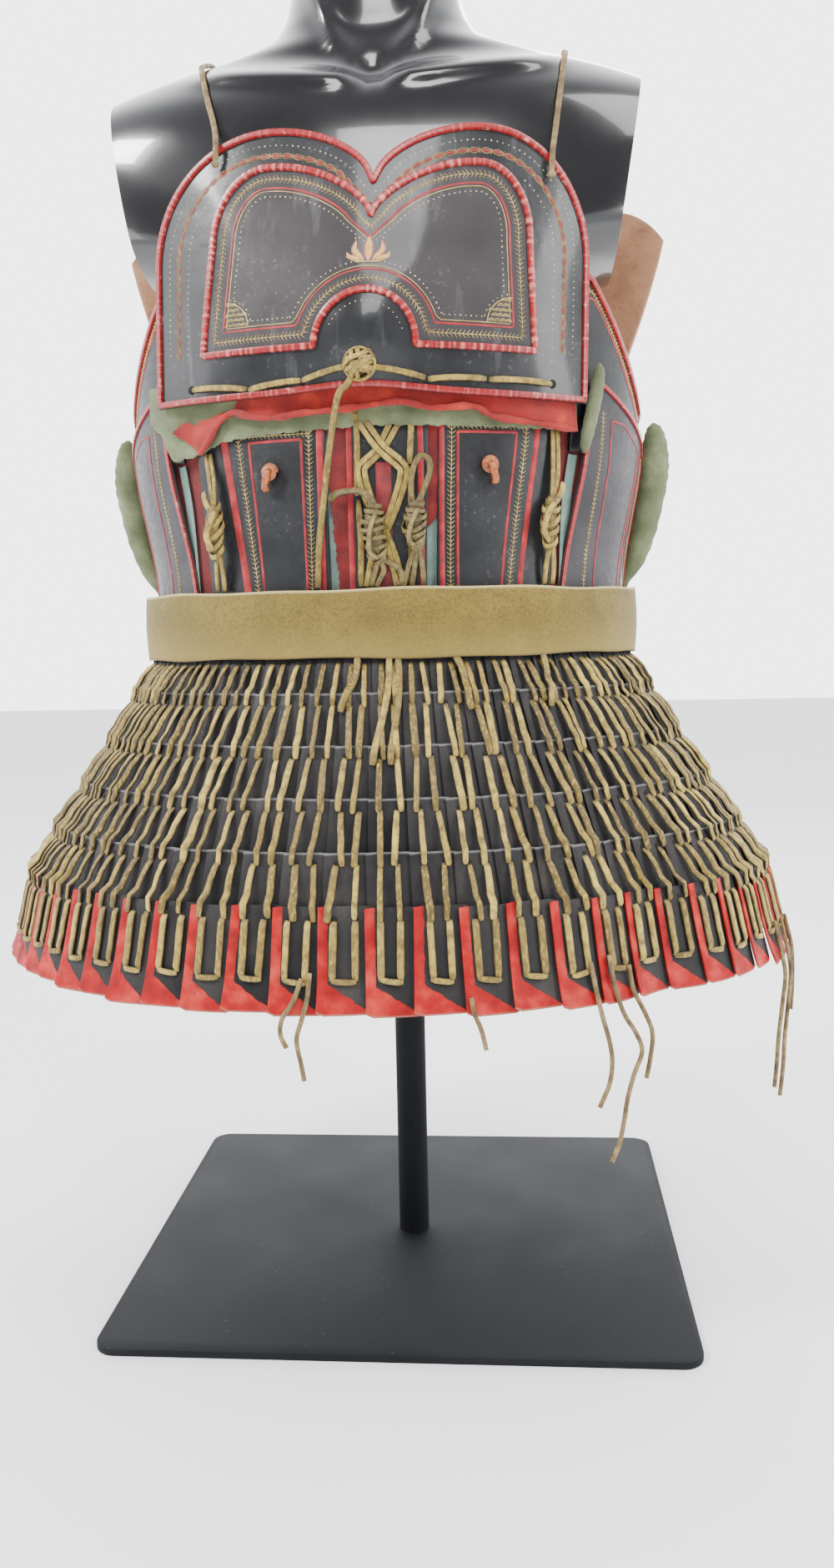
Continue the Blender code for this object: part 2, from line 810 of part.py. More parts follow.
def make_shoulder_cords(thong):
    """From each lobe over the shoulder to the back plate, lying on the form."""
    on_form = CORD_RADIUS + 0.0040
    on_rim = CORD_RADIUS + RIM_HEIGHT + FACET + TOUCH
    for side, sign, inward in (("left", -1, 0.018), ("right", 1, 0.0)):
        front_x, top_x, back_x = 0.139 - inward, 0.157 - inward, 0.160 - inward
        top_z = form_top(top_x) + CORD_RADIUS + 0.0034
        edge_z = breast_top(front_x) + 0.0028
        points = []
        for z in (edge_z - 0.016, edge_z):
            hung = breast_face(sign * front_x, z, on_rim)
            points.append((sign * hung.x, hung.y, hung.z))
        front_x, _, edge_z = points[-1]
        for z in (edge_z + 0.021, 0.982, 1.006, 1.016, 1.025):
            x = front_x + (top_x - front_x) * (z - edge_z) / (1.025 - edge_z)
            points.append((x, -form_depth(x, z) - on_form, z))
        points += [(top_x, y, top_z) for y in (-0.012, 0.012)]
        for z in (1.025, 1.016, 1.006):
            points.append((top_x, form_depth(top_x, z, back=True) + on_form, z))
        points.append((0.158 - inward, back_y(0.158 - inward, 0.950) - 0.010, 0.968))
        for z, lift in ((0.953, on_rim), (0.942, on_rim), (0.926, CORD_RADIUS + TOUCH)):
            points.append((back_x, back_y(back_x, z, HIDE) + lift, z))
        route = smooth_route([(sign * x, y, z) for x, y, z in points], 2)
        cord(f"shoulder_cord_{side}", route, CORD_RADIUS, thong)


Tie = namedtuple("Tie", "x z lift swell")

TIES = {
    "breast_tie": (
        Tie(-0.002, 0.7640, 0.0084, 4.2), Tie(-0.004, 0.7595, 0.0086, 3.6),
        Tie(-0.012, 0.7480, 0.0068, 1.2), Tie(-0.018, 0.7400, 0.0068, 1.0),
        Tie(-0.028, 0.7100, 0.0130, 1.0), Tie(-0.034, 0.6700, 0.0090, 1.0),
        Tie(-0.040, 0.6300, 0.0045, 1.0), Tie(-0.042, 0.6000, 0.0021, 1.0),
    ),
    "placket_tie_left": (
        Tie(-0.0145, 0.6640, 0.0021, 1.0), Tie(-0.006, 0.6660, 0.0050, 1.2),
        Tie(0.002, 0.6600, 0.0085, 1.6), Tie(0.004, 0.6500, 0.0100, 4.0),
        Tie(0.004, 0.6380, 0.0100, 4.6), Tie(0.005, 0.6270, 0.0090, 3.0),
        Tie(0.006, 0.6150, 0.0060, 1.2), Tie(0.006, 0.5990, 0.0045, 1.2),
    ),
    "placket_tie_right": (
        Tie(0.040, 0.6980, 0.0021, 1.0), Tie(0.043, 0.6900, 0.0048, 1.2),
        Tie(0.041, 0.6700, 0.0085, 1.4), Tie(0.036, 0.6600, 0.0090, 2.6),
        Tie(0.034, 0.6480, 0.0100, 4.2), Tie(0.033, 0.6370, 0.0090, 3.4),
        Tie(0.033, 0.6200, 0.0060, 1.2), Tie(0.032, 0.5990, 0.0045, 1.2),
    ),
    "side_tie_right": (
        Tie(0.1435, 0.7080, 0.0028, 1.2), Tie(0.1435, 0.6850, 0.0055, 1.4),
        Tie(0.1430, 0.6630, 0.0075, 1.8), Tie(0.1420, 0.6500, 0.0095, 4.2),
        Tie(0.1410, 0.6370, 0.0095, 4.4), Tie(0.1410, 0.6260, 0.0080, 2.4),
        Tie(0.1400, 0.6120, 0.0050, 1.3), Tie(0.1390, 0.5990, 0.0045, 1.3),
    ),
    "side_tie_left": (
        Tie(-0.1330, 0.6980, 0.0028, 1.2), Tie(-0.1300, 0.6780, 0.0055, 1.4),
        Tie(-0.1270, 0.6600, 0.0075, 1.8), Tie(-0.1260, 0.6470, 0.0095, 4.0),
        Tie(-0.1250, 0.6340, 0.0095, 4.2), Tie(-0.1245, 0.6230, 0.0080, 2.2),
        Tie(-0.1240, 0.6110, 0.0050, 1.3), Tie(-0.1235, 0.5990, 0.0045, 1.3),
    ),
}


def waist_y(x, z, out):
    """The waist's outer face in front at x, moved out."""
    section = between(WAIST_SECTIONS, z)
    half, depth = section.half_width + out, section.front + out
    return -depth * sqrt(max(0.0, 1 - (x / half) ** 2))


def make_ties(thong):
    """Knotted thongs in front: each runs from its hole through its knot down behind the belt's edge."""
    for name, table in TIES.items():
        points = []
        for row in table:
            if name == "breast_tie" and row.z > 0.735:
                points.append(breast_face(row.x, row.z, row.lift))
            else:
                points.append((row.x, waist_y(row.x, row.z, HIDE + row.lift), row.z))
        route = smooth_route(points, 2)
        swell = []
        for a, b in zip(table, table[1:]):
            swell += [a.swell, (a.swell + b.swell) / 2]
        cord(name, route, THONG_RADIUS, thong, swell + [table[-1].swell])


TOGGLE_SWELL = (1, 1.8, 2.8, 2.8, 2.2, 1.3, 1)


def make_toggles(leather):
    """A knotted hide button with its tail, on each front plate."""
    for side, x, z in (("left", -0.077, 0.684), ("right", 0.092, 0.686)):
        y = waist_y(x, z, HIDE)
        across = 1 if side == "left" else -1
        points = [
            (x, y - 0.0013, z),
            (x + 0.002 * across, y - 0.0080, z + 0.001),
            (x - 0.003 * across, y - 0.0110, z - 0.003),
            (x - 0.005 * across, y - 0.0095, z - 0.014),
        ]
        cord(f"toggle_{side}", smooth_route(points, 2), CORD_RADIUS, leather, TOGGLE_SWELL)


def hem_point(angle, z):
    """A thong's middle on the bottom row's outer face; below the hem it hangs straight down."""
    last = skirt_rows()[-1]
    section = along_row(last, max(z, last.bottom.z))
    low = angle - angle % LAP_ANGLE
    high = low + LAP_ANGLE
    lap = LAMELLA_THIN if z > last.bottom.z else LAMELLA_THICK
    start = round_body(section, low, pleat(low, section.z) + LAMELLA_THICK)
    end = round_body(section, high, pleat(high, section.z) + lap)
    along = (end - start).normalized()
    outward = Vector((along.y, -along.x, 0.0))
    point = start.lerp(end, (angle - low) / LAP_ANGLE) + outward * (THONG_RADIUS + TOUCH)
    point.z = z
    return point


# Free thong ends at the hem, as (angle, z) down each one
HEM_THONGS = {
    "hem_thong_left_a": (
        (-6.9, 0.318), (-7.1, 0.300), (-7.6, 0.285), (-8.3, 0.270), (-7.8, 0.252), (-7.5, 0.240),
    ),
    "hem_thong_left_b": ((-7.9, 0.314), (-8.8, 0.298), (-10.0, 0.286), (-10.3, 0.274), (-9.6, 0.264)),
    "hem_thong_front": ((12.6, 0.300), (12.9, 0.289), (13.6, 0.279), (14.0, 0.270), (14.3, 0.262)),
    "hem_thong_side_a": (
        (31.3, 0.322), (31.5, 0.300), (32.7, 0.278), (34.7, 0.262), (35.9, 0.246), (34.5, 0.230),
        (33.3, 0.212), (32.7, 0.196), (31.9, 0.180), (30.5, 0.166),
    ),
    "hem_thong_side_b": (
        (28.6, 0.318), (28.9, 0.298), (29.3, 0.280), (30.0, 0.262), (30.6, 0.246), (30.2, 0.228),
        (28.9, 0.210),
    ),
    "hem_thong_side_c": (
        (34.6, 0.312), (34.8, 0.294), (36.3, 0.276), (37.9, 0.258), (37.5, 0.240), (36.7, 0.224),
    ),
    "hem_thong_far_a": (
        (70.5, 0.318), (70.2, 0.296), (70.7, 0.274), (69.2, 0.250), (67.2, 0.226), (66.2, 0.204),
        (65.4, 0.184),
    ),
    "hem_thong_far_b": (
        (75.0, 0.316), (74.2, 0.294), (75.9, 0.270), (73.4, 0.246), (70.9, 0.220), (70.2, 0.196),
        (68.3, 0.172),
    ),
    "hem_thong_far_c": ((80.8, 0.314), (79.4, 0.292), (81.6, 0.272), (78.9, 0.252), (76.6, 0.236)),
}


def make_hem_thongs(thong):
    for name, table in HEM_THONGS.items():
        points = [hem_point(angle, z) for angle, z in table]
        cord(name, smooth_route(points, 2), THONG_RADIUS, thong)


def main():
    clear_scene()
    steel = finish("painted_steel", (0.030, 0.032, 0.036), 0.55, 0.2)
    gloss = finish("form_gloss", (0.010, 0.010, 0.012), 0.12)
    lacquer = finish("black_lacquer", (0.035, 0.034, 0.036), 0.32)
    red = finish("red_lacquer", (0.55, 0.060, 0.035), 0.42)
    hide = finish("bare_hide", (0.33, 0.17, 0.09), 0.70)
    scarlet = finish("scarlet_wool", (0.50, 0.035, 0.025), 0.95)
    sage = finish("sage_wool", (0.23, 0.25, 0.15), 0.95)
    suede = finish("belt_suede", (0.34, 0.28, 0.13), 0.92)
    thong = finish("hide_thong", (0.45, 0.33, 0.14), 0.75)
    leather = finish("toggle_leather", (0.50, 0.22, 0.08), 0.60)
    make_base(steel)
    make_post(steel)
    make_form(gloss)
    make_breast_plate(lacquer)
    make_breast_trim(red)
    make_back_plate(hide, red)
    make_underarm(lacquer, red)
    make_waist(lacquer)
    make_bands(scarlet, sage)
    make_strips(scarlet)
    make_rolls(sage)
    make_belt(suede)
    make_skirt(lacquer)
    make_shoulder_cords(thong)
    make_ties(thong)
    make_toggles(leather)
    make_hem_thongs(thong)


main()
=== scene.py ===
"""The lamellar armour on its torso form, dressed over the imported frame: lacquer, lacing, cloth and paint.

Metres, +Z up. The wearer's front faces -Y. Angles run round the body from the front, and grow towards +X.
"""

import random
from collections import namedtuple
from math import cos, exp, pi, radians, sin, sqrt, tau

import bmesh
import bpy
from mathutils import Matrix, Vector


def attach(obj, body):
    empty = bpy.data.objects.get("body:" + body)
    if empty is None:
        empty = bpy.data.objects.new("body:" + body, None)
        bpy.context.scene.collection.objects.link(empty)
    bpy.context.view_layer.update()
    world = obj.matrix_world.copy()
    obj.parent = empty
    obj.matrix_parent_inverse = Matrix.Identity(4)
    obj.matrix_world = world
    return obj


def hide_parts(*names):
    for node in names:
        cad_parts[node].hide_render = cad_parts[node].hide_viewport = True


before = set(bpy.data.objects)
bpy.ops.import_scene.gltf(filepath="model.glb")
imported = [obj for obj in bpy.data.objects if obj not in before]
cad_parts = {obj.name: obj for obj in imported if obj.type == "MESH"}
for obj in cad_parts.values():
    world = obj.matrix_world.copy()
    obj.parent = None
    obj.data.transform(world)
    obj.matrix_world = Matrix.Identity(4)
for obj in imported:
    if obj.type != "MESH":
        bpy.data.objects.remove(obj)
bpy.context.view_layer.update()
chance = random.Random(23)

# Sizes shared with the solids

HIDE = 0.003
WOOL = 0.002
TOUCH = 0.0005
FACET = 0.0009

BASE_WIDTH = 0.480
BASE_DEPTH = 0.430
BASE_THICK = 0.006
BASE_CORNER = 0.018
STAND_X = 0.010
POST_RADIUS = 0.0138
FORM_BOTTOM = 0.430
STUB_X = 0.217
STUB_Z = 1.000
STUB_TILT = 8.7

Lobe = namedtuple("Lobe", "x z rise notch power")

BREAST_HALF = 0.1715
BREAST_BOTTOM = 0.741
BREAST_LOBE = Lobe(0.0835, 0.8485, 0.0950, 0.9007, 0.515)
PANEL_HALF = 0.1290
PANEL_LEAN = 0.0066
PANEL_BOTTOM = 0.7766
PANEL_LOBE = Lobe(0.0817, 0.8595, 0.0544, 0.8723, 0.615)
ARCH_HALF = 0.0386
ARCH_RISE = 0.0392
HANG_TURN = 1.15
HANG_PIVOT = 0.855
MIDDLE_SHIFT = 0.0057
MIDDLE_LEAN = 0.045
BULGE_DEPTH = 0.009
BULGE_RADIUS = 0.034
BULGE_Z = 0.788

WAIST_LOW = 0.536
WAIST_HIGH = 0.766
BACK_WAIST_HIGH = 0.754
PLACKET_ANGLES = (-4.6, 12.2)
FRONT_ANGLES = {"left": (-41.0, -9.0), "right": (14.4, 43.0)}
BACK_ANGLES = {"left": (-152.0, -112.0), "centre": (153.0, 207.0), "right": (112.0, 152.0)}
SIDE_ANGLE_LOW = 51.5
SIDE_APEX = 54.0
SIDE_ANGLE_HIGH = 91.0
SIDE_LEAN = 34.0
SIDE_TOPS = {"front": 0.746, "apex": 0.760, "back": 0.706}
UNDERARM_LOW = 0.702
UNDERARM_ANGLES = {"front": 46.0, "crest": 55.0, "side": 90.0, "back": 99.0}
UNDERARM_TOPS = {"front": 0.831, "crest": 0.843, "side": 0.745, "back": 0.737}

STRIP_LOW = 0.545
STRIP_HIGH = 0.760
BELT_LOW = 0.5420
BELT_HIGH = 0.5970
BELT_HALF_WIDTH = 0.2165
BELT_DEPTH = 0.1545

LAMELLAE = 60
LAP_ANGLE = 360 / LAMELLAE
ROW_TALL = 0.060
LAMELLA_THIN = 0.0020
LAMELLA_THICK = 0.0042
LAMELLA_WALL = 0.0018
PLEAT_ANGLE = 41.0
PLEAT_SPREAD = 7.0
PLEAT_DEPTH = 0.012
LEG_SHARES = (0.33, 0.76)
HOLE_RADIUS = 0.0030
CORD_RADIUS = 0.0022
THONG_RADIUS = 0.0018

Section = namedtuple("Section", "z half_width front back")
Wing = namedtuple("Wing", "z half_width centre edge")

FORM_SECTIONS = (
    Section(FORM_BOTTOM, 0.132, 0.090, 0.090),
    Section(0.440, 0.147, 0.103, 0.103),
    Section(0.520, 0.148, 0.107, 0.105),
    Section(0.600, 0.132, 0.098, 0.096),
    Section(0.680, 0.138, 0.102, 0.099),
    Section(0.760, 0.152, 0.109, 0.104),
    Section(0.820, 0.165, 0.115, 0.108),
    Section(0.850, 0.176, 0.117, 0.110),
    Section(0.864, 0.215, 0.115, 0.109),
    Section(0.885, 0.262, 0.111, 0.108),
    Section(0.920, 0.292, 0.106, 0.105),
    Section(0.955, 0.300, 0.100, 0.101),
    Section(0.985, 0.282, 0.091, 0.094),
    Section(1.008, 0.232, 0.079, 0.084),
    Section(1.028, 0.165, 0.068, 0.074),
    Section(1.044, 0.105, 0.063, 0.068),
    Section(1.062, 0.081, 0.062, 0.065),
    Section(1.090, 0.0715, 0.060, 0.062),
    Section(1.120, 0.0715, 0.060, 0.062),
)
WAIST_SECTIONS = (
    Section(0.535, 0.2005, 0.1385, 0.1385),
    Section(0.600, 0.2020, 0.1390, 0.1370),
    Section(0.660, 0.2080, 0.1390, 0.1330),
    Section(0.710, 0.2140, 0.1370, 0.1290),
    Section(0.768, 0.2150, 0.1330, 0.1240),
    Section(0.810, 0.2125, 0.1300, 0.1225),
    Section(0.862, 0.2050, 0.1240, 0.1210),
)
SKIRT_SECTIONS = (
    Section(0.548, 0.2042, 0.1422, 0.1422),
    Section(0.517, 0.2225, 0.1625, 0.1625),
    Section(0.478, 0.2460, 0.1830, 0.1830),
    Section(0.440, 0.2715, 0.2005, 0.2005),
    Section(0.402, 0.2980, 0.2155, 0.2155),
    Section(0.364, 0.3235, 0.2290, 0.2290),
    Section(0.287, 0.3430, 0.2450, 0.2450),
)
BREAST_DEPTHS = (
    Wing(0.740, BREAST_HALF, 0.1540, 0.1000),
    Wing(0.780, BREAST_HALF, 0.1560, 0.0990),
    Wing(0.820, BREAST_HALF, 0.1540, 0.0980),
    Wing(0.860, BREAST_HALF, 0.1475, 0.0970),
    Wing(0.905, BREAST_HALF, 0.1390, 0.0960),
    Wing(0.950, BREAST_HALF, 0.1300, 0.0930),
)
BACK_DEPTHS = (
    Wing(0.700, 0.178, 0.1345, 0.0830),
    Wing(0.760, 0.197, 0.1370, 0.0860),
    Wing(0.810, 0.2185, 0.1400, 0.0950),
    Wing(0.870, 0.240, 0.1420, 0.1060),
    Wing(0.920, 0.254, 0.1400, 0.1130),
    Wing(0.950, 0.257, 0.1370, 0.1150),
)

# Faces that the pieces lie on


def vary(amount):
    return chance.uniform(-amount, amount)


def spread(low, high, steps):
    return [low + (high - low) * i / steps for i in range(steps + 1)]


def eased(low, high, value):
    part = min(1.0, max(0.0, (value - low) / (high - low)))
    return part * part * (3 - 2 * part)


def read(table, at):
    """The value that belongs to this place in a table of (place, value)."""
    if at <= table[0][0]:
        return table[0][1]
    for (a, low), (b, high) in zip(table, table[1:]):
        if at <= b:
            return low + (high - low) * (at - a) / (b - a)
    return table[-1][1]


def between(table, z):
    """The table's row at height z, on a smooth curve through its rows."""
    z = min(max(z, table[0].z), table[-1].z)
    last = len(table) - 1
    i = min(last - 1, sum(1 for row in table[1:] if row.z < z))
    low, high = table[i], table[i + 1]
    under, over = table[max(0, i - 1)], table[min(last, i + 2)]
    step = high.z - low.z
    t = (z - low.z) / step
    values = [z]
    for a, b, c, d in zip(under[1:], low[1:], high[1:], over[1:]):
        first = (c - a) / (high.z - under.z) * step
        second = (d - b) / (over.z - low.z) * step
        values.append(
            (2 * t**3 - 3 * t**2 + 1) * b
            + (t**3 - 2 * t**2 + t) * first
            + (3 * t**2 - 2 * t**3) * c
            + (t**3 - t**2) * second
        )
    return type(low)(*values)


def round_body(section, angle, out=0.0):
    turn = radians(angle)
    depth = section.front if cos(turn) > 0 else section.back
    return Vector(
        ((section.half_width + out) * sin(turn), -(depth + out) * cos(turn), section.z)
    )


def on_waist(angle, z, out=0.0):
    """A place on the outer faces of the plates round the waist."""
    point = round_body(between(WAIST_SECTIONS, z), angle, HIDE + out)
    point.z = z
    return point


def on_breast(x, z, out=0.0):
    """A place on the breast plate as it hangs: its right side lower, its middle to the right."""
    row = between(BREAST_DEPTHS, z)
    share = 1 - (x / row.half_width) ** 2
    reach = (x / BULGE_RADIUS) ** 2 + ((z - BULGE_Z) / BULGE_RADIUS) ** 2
    depth = row.edge + (row.centre - row.edge) * share + BULGE_DEPTH * exp(-reach)
    turn = radians(HANG_TURN)
    moved = x + (MIDDLE_SHIFT + MIDDLE_LEAN * (z - HANG_PIVOT)) * share
    risen = z - HANG_PIVOT
    return Vector(
        (
            moved * cos(turn) + risen * sin(turn),
            -(depth + out),
            HANG_PIVOT - moved * sin(turn) + risen * cos(turn),
        )
    )


def on_back(x, z, out=0.0):
    row = between(BACK_DEPTHS, z)
    depth = row.centre - (row.centre - row.edge) * min(1.2, (x / row.half_width) ** 2)
    return Vector((x, depth + HIDE + out, z))


def side_lift(z):
    return (HIDE + FACET) * eased(BELT_HIGH + 0.018, UNDERARM_LOW - 0.012, z)


def on_side(sign):
    """The face of the side plate on this side; its front edge leans."""

    def place(angle, z, out=0.0):
        share = (SIDE_ANGLE_HIGH - angle) / (SIDE_ANGLE_HIGH - SIDE_ANGLE_LOW)
        turned = angle + SIDE_LEAN * share * (z - SIDE_TOPS["apex"])
        return on_waist(sign * turned, z, side_lift(z) + out)

    return place


def waist_y(x, z, out):
    """The waist's outer face in front at x, moved out."""
    section = between(WAIST_SECTIONS, z)
    half, depth = section.half_width + out, section.front + out
    return -depth * sqrt(max(0.0, 1 - (x / half) ** 2))


def form_depth(x, z, back=False):
    section = between(FORM_SECTIONS, z)
    depth = section.back if back else section.front
    return depth * sqrt(max(0.0, 1 - (x / section.half_width) ** 2))


def lobe_top(lobe, half_width, x):
    x = abs(x)
    if x > lobe.x:
        return lobe.z + lobe.rise * sqrt(max(0.0, 1 - ((x - lobe.x) / (half_width - lobe.x)) ** 2))
    return lobe.notch + (lobe.z + lobe.rise - lobe.notch) * sin(pi / 2 * x / lobe.x) ** lobe.power


def breast_bottom(x):
    return BREAST_BOTTOM + 0.005 * exp(-((x / 0.05) ** 2))


def back_top(u):
    return BACK_DEPTHS[-1].z - 0.030 * max(0.0, (abs(u) - 0.80) / 0.20) ** 2.2


def side_top(angle):
    apex = SIDE_TOPS["apex"]
    if angle < SIDE_APEX:
        part = (SIDE_APEX - angle) / (SIDE_APEX - SIDE_ANGLE_LOW)
        return apex + (SIDE_TOPS["front"] - apex) * part
    part = (angle - SIDE_APEX) / (SIDE_ANGLE_HIGH - SIDE_APEX)
    return apex + (SIDE_TOPS["back"] - apex) * part


def underarm_top(angle):
    angle = abs(angle)
    at, tops = UNDERARM_ANGLES, UNDERARM_TOPS
    if angle < at["crest"]:
        part = (at["crest"] - angle) / (at["crest"] - at["front"])
        return tops["crest"] + (tops["front"] - tops["crest"]) * part
    if angle < at["side"]:
        part = sin(pi / 2 * (angle - at["crest"]) / (at["side"] - at["crest"]))
        return tops["crest"] + (tops["side"] - tops["crest"]) * part
    part = (angle - at["side"]) / (at["back"] - at["side"])
    return tops["side"] + (tops["back"] - tops["side"]) * part


# Finishes


class Recipe:
    """A finish in the making: its nodes are added and joined one after another."""

    def __init__(self, name, **uniform):
        self.material = bpy.data.materials.new(name)
        self.material.use_nodes = True
        self.tree = self.material.node_tree
        self.shader = self.tree.nodes["Principled BSDF"]
        for key, value in uniform.items():
            self.shader.inputs[key.replace("_", " ")].default_value = value
        coords = self.tree.nodes.new("ShaderNodeTexCoord")
        self.place = coords.outputs["Object"]
        self.uv = coords.outputs["UV"]

    def node(self, kind, inputs=(), **settings):
        made = self.tree.nodes.new(kind)
        for name, value in settings.items():
            setattr(made, name, value)
        for key, value in dict(inputs).items():
            if isinstance(value, bpy.types.NodeSocket):
                self.tree.links.new(value, made.inputs[key])
            else:
                made.inputs[key].default_value = value
        return made

    def stretched(self, source, scale):
        return self.node("ShaderNodeMapping", {"Vector": source, "Scale": scale}).outputs[0]

    def noise(self, scale, detail=4.0, source=None, stretch=None, distortion=0.0):
        source = source or self.place
        if stretch:
            source = self.stretched(source, stretch)
        made = self.node(
            "ShaderNodeTexNoise",
            {"Vector": source, "Scale": scale, "Detail": detail, "Distortion": distortion},
        )
        return made.outputs[0]

    def cells(self, scale, source=None, output="Distance"):
        made = self.node("ShaderNodeTexVoronoi", {"Vector": source or self.place, "Scale": scale})
        return made.outputs[output]

    def waves(self, scale, source, direction="X", distortion=0.0):
        made = self.node(
            "ShaderNodeTexWave",
            {"Vector": source, "Scale": scale, "Distortion": distortion, "Detail": 2.0},
            bands_direction=direction,
        )
        return made.outputs["Fac"]

    def tone(self):
        return self.node("ShaderNodeAttribute", attribute_name="tone").outputs["Fac"]

    def across_and_along(self):
        parts = self.node("ShaderNodeSeparateXYZ", {0: self.uv})
        return parts.outputs[0], parts.outputs[1]

    def ramp(self, factor, *stops):
        made = self.node("ShaderNodeValToRGB", {"Fac": factor})
        points = made.color_ramp.elements
        while len(points) < len(stops):
            points.new(0.5)
        for point, (position, colour) in zip(points, stops):
            point.position = position
            point.color = (*colour, 1.0) if hasattr(colour, "__len__") else (colour,) * 3 + (1.0,)
        return made.outputs["Color"]

    def mix(self, factor, first, second):
        made = self.node("ShaderNodeMix", data_type="RGBA")
        for key, value in ((0, factor), (6, first), (7, second)):
            if isinstance(value, bpy.types.NodeSocket):
                self.tree.links.new(value, made.inputs[key])
            else:
                made.inputs[key].default_value = (*value, 1.0) if hasattr(value, "__len__") else value
        return made.outputs[2]

    def sum(self, operation, first, second=0.0):
        return self.node("ShaderNodeMath", {0: first, 1: second}, operation=operation).outputs[0]

    def bump(self, height, strength, distance, under=None):
        inputs = {"Height": height, "Strength": strength, "Distance": distance}
        if under:
            inputs["Normal"] = under
        return self.node("ShaderNodeBump", inputs).outputs[0]

    def done(self, colour=None, roughness=None, normal=None):
        for key, socket in (("Base Color", colour), ("Roughness", roughness), ("Normal", normal)):
            if socket:
                self.tree.links.new(socket, self.shader.inputs[key])
        return self.material


def breast_lacquer():
    """Glossy black at the border and on the belly, dull and brownish inside the panel, scuffed all over."""
    r = Recipe("breast_lacquer", Specular_IOR_Level=0.30, Coat_Weight=0.32, Coat_Roughness=0.09)
    field = r.tone()
    cloud = r.noise(16, 6)
    fine = r.noise(170, 5)
    scratch = r.noise(90, 3, stretch=(1.0, 1.0, 0.12))
    gloss = r.ramp(cloud, (0.30, (0.010, 0.010, 0.012)), (0.70, (0.030, 0.031, 0.034)))
    dull = r.ramp(cloud, (0.25, (0.022, 0.019, 0.020)), (0.80, (0.055, 0.048, 0.050)))
    colour = r.mix(field, gloss, dull)
    colour = r.mix(r.ramp(scratch, (0.60, 0.0), (0.78, 0.35)), colour, (0.16, 0.16, 0.17))
    dust = r.ramp(r.noise(260, 6), (0.60, 0.0), (0.74, 0.45))
    colour = r.mix(
        r.sum("MULTIPLY", dust, r.ramp(cloud, (0.45, 0.0), (0.62, 1.0))), colour,
        (0.22, 0.21, 0.20),
    )
    shine = r.ramp(r.noise(30, 3), (0.30, 0.27), (0.72, 0.38))
    matt = r.ramp(fine, (0.30, 0.50), (0.75, 0.66))
    normal = r.bump(r.noise(34, 3), 0.35, 0.002)
    normal = r.bump(fine, 0.06, 0.0005, normal)
    return r.done(colour, r.mix(field, shine, matt), normal)


def plate_lacquer(name, dark, worn, low=0.36, high=0.46):
    r = Recipe(name, Specular_IOR_Level=0.42)
    cloud = r.noise(22, 6)
    fine = r.noise(210, 5)
    streaks = r.noise(60, 4, stretch=(1.0, 1.0, 0.15))
    colour = r.ramp(cloud, (0.28, dark), (0.74, worn))
    colour = r.mix(r.ramp(streaks, (0.62, 0.0), (0.80, 0.30)), colour, (0.15, 0.15, 0.16))
    dust = r.ramp(r.noise(280, 6), (0.60, 0.0), (0.74, 0.4))
    colour = r.mix(
        r.sum("MULTIPLY", dust, r.ramp(cloud, (0.45, 0.0), (0.62, 1.0))), colour,
        (0.20, 0.19, 0.18),
    )
    normal = r.bump(r.noise(40, 3), 0.30, 0.002)
    normal = r.bump(fine, 0.05, 0.0005, normal)
    return r.done(colour, r.ramp(fine, (0.30, low), (0.72, high)), normal)


def lamella_finish(name, red):
    """Dusty black lacquer, with a worn pale upper edge; on the last row a red edge and a red corner."""
    r = Recipe(name, Specular_IOR_Level=0.22)
    across, along = r.across_and_along()
    cloud = r.noise(26, 6)
    fine = r.noise(260, 5)
    colour = r.ramp(
        cloud, (0.28, (0.006, 0.0055, 0.006)), (0.58, (0.020, 0.018, 0.018)),
        (0.85, (0.062, 0.051, 0.043)),
    )
    colour = r.mix(r.sum("MULTIPLY", r.tone(), 0.35), colour, (0.055, 0.051, 0.049))
    specks = r.ramp(r.cells(420), (0.03, 0.55), (0.09, 0.0))
    colour = r.mix(
        r.sum("MULTIPLY", specks, r.ramp(cloud, (0.42, 0.0), (0.60, 1.0))), colour,
        (0.42, 0.42, 0.40),
    )
    wander = r.sum("MULTIPLY", r.sum("SUBTRACT", r.noise(160, 4), 0.5), 0.05)
    if red:
        edge = r.sum("LESS_THAN", r.sum("ADD", across, wander), 0.175)
        slope = r.sum("ADD", along, r.sum("MULTIPLY", across, 0.36))
        corner = r.sum("LESS_THAN", r.sum("ADD", slope, wander), 0.345)
        low = r.sum("LESS_THAN", along, 0.30)
        painted = r.sum("MAXIMUM", edge, r.sum("MULTIPLY", corner, low))
        reds = ((0.25, (0.17, 0.004, 0.006)), (0.50, (0.37, 0.006, 0.007)), (0.80, (0.62, 0.065, 0.045)))
        paint = r.ramp(r.noise(55, 6), *reds)
        worn = r.ramp(r.noise(240, 6), (0.62, 0.0), (0.74, 0.85))
        paint = r.mix(worn, paint, (0.10, 0.045, 0.035))
        colour = r.mix(painted, colour, paint)
        rim = r.sum("GREATER_THAN", r.sum("SUBTRACT", 0.016, along), 0.0)
        colour = r.mix(r.sum("MULTIPLY", rim, 0.7), colour, (0.33, 0.13, 0.09))
    top = r.ramp(r.sum("ADD", along, r.sum("MULTIPLY", wander, 0.3)), (0.966, 0.0), (0.984, 0.9))
    if not red:
        colour = r.mix(r.sum("MULTIPLY", top, 0.6), colour, (0.24, 0.23, 0.22))
    normal = r.bump(r.noise(60, 4), 0.35, 0.0015)
    normal = r.bump(fine, 0.30, 0.0006, normal)
    return r.done(colour, r.ramp(fine, (0.30, 0.44), (0.75, 0.72)), normal)


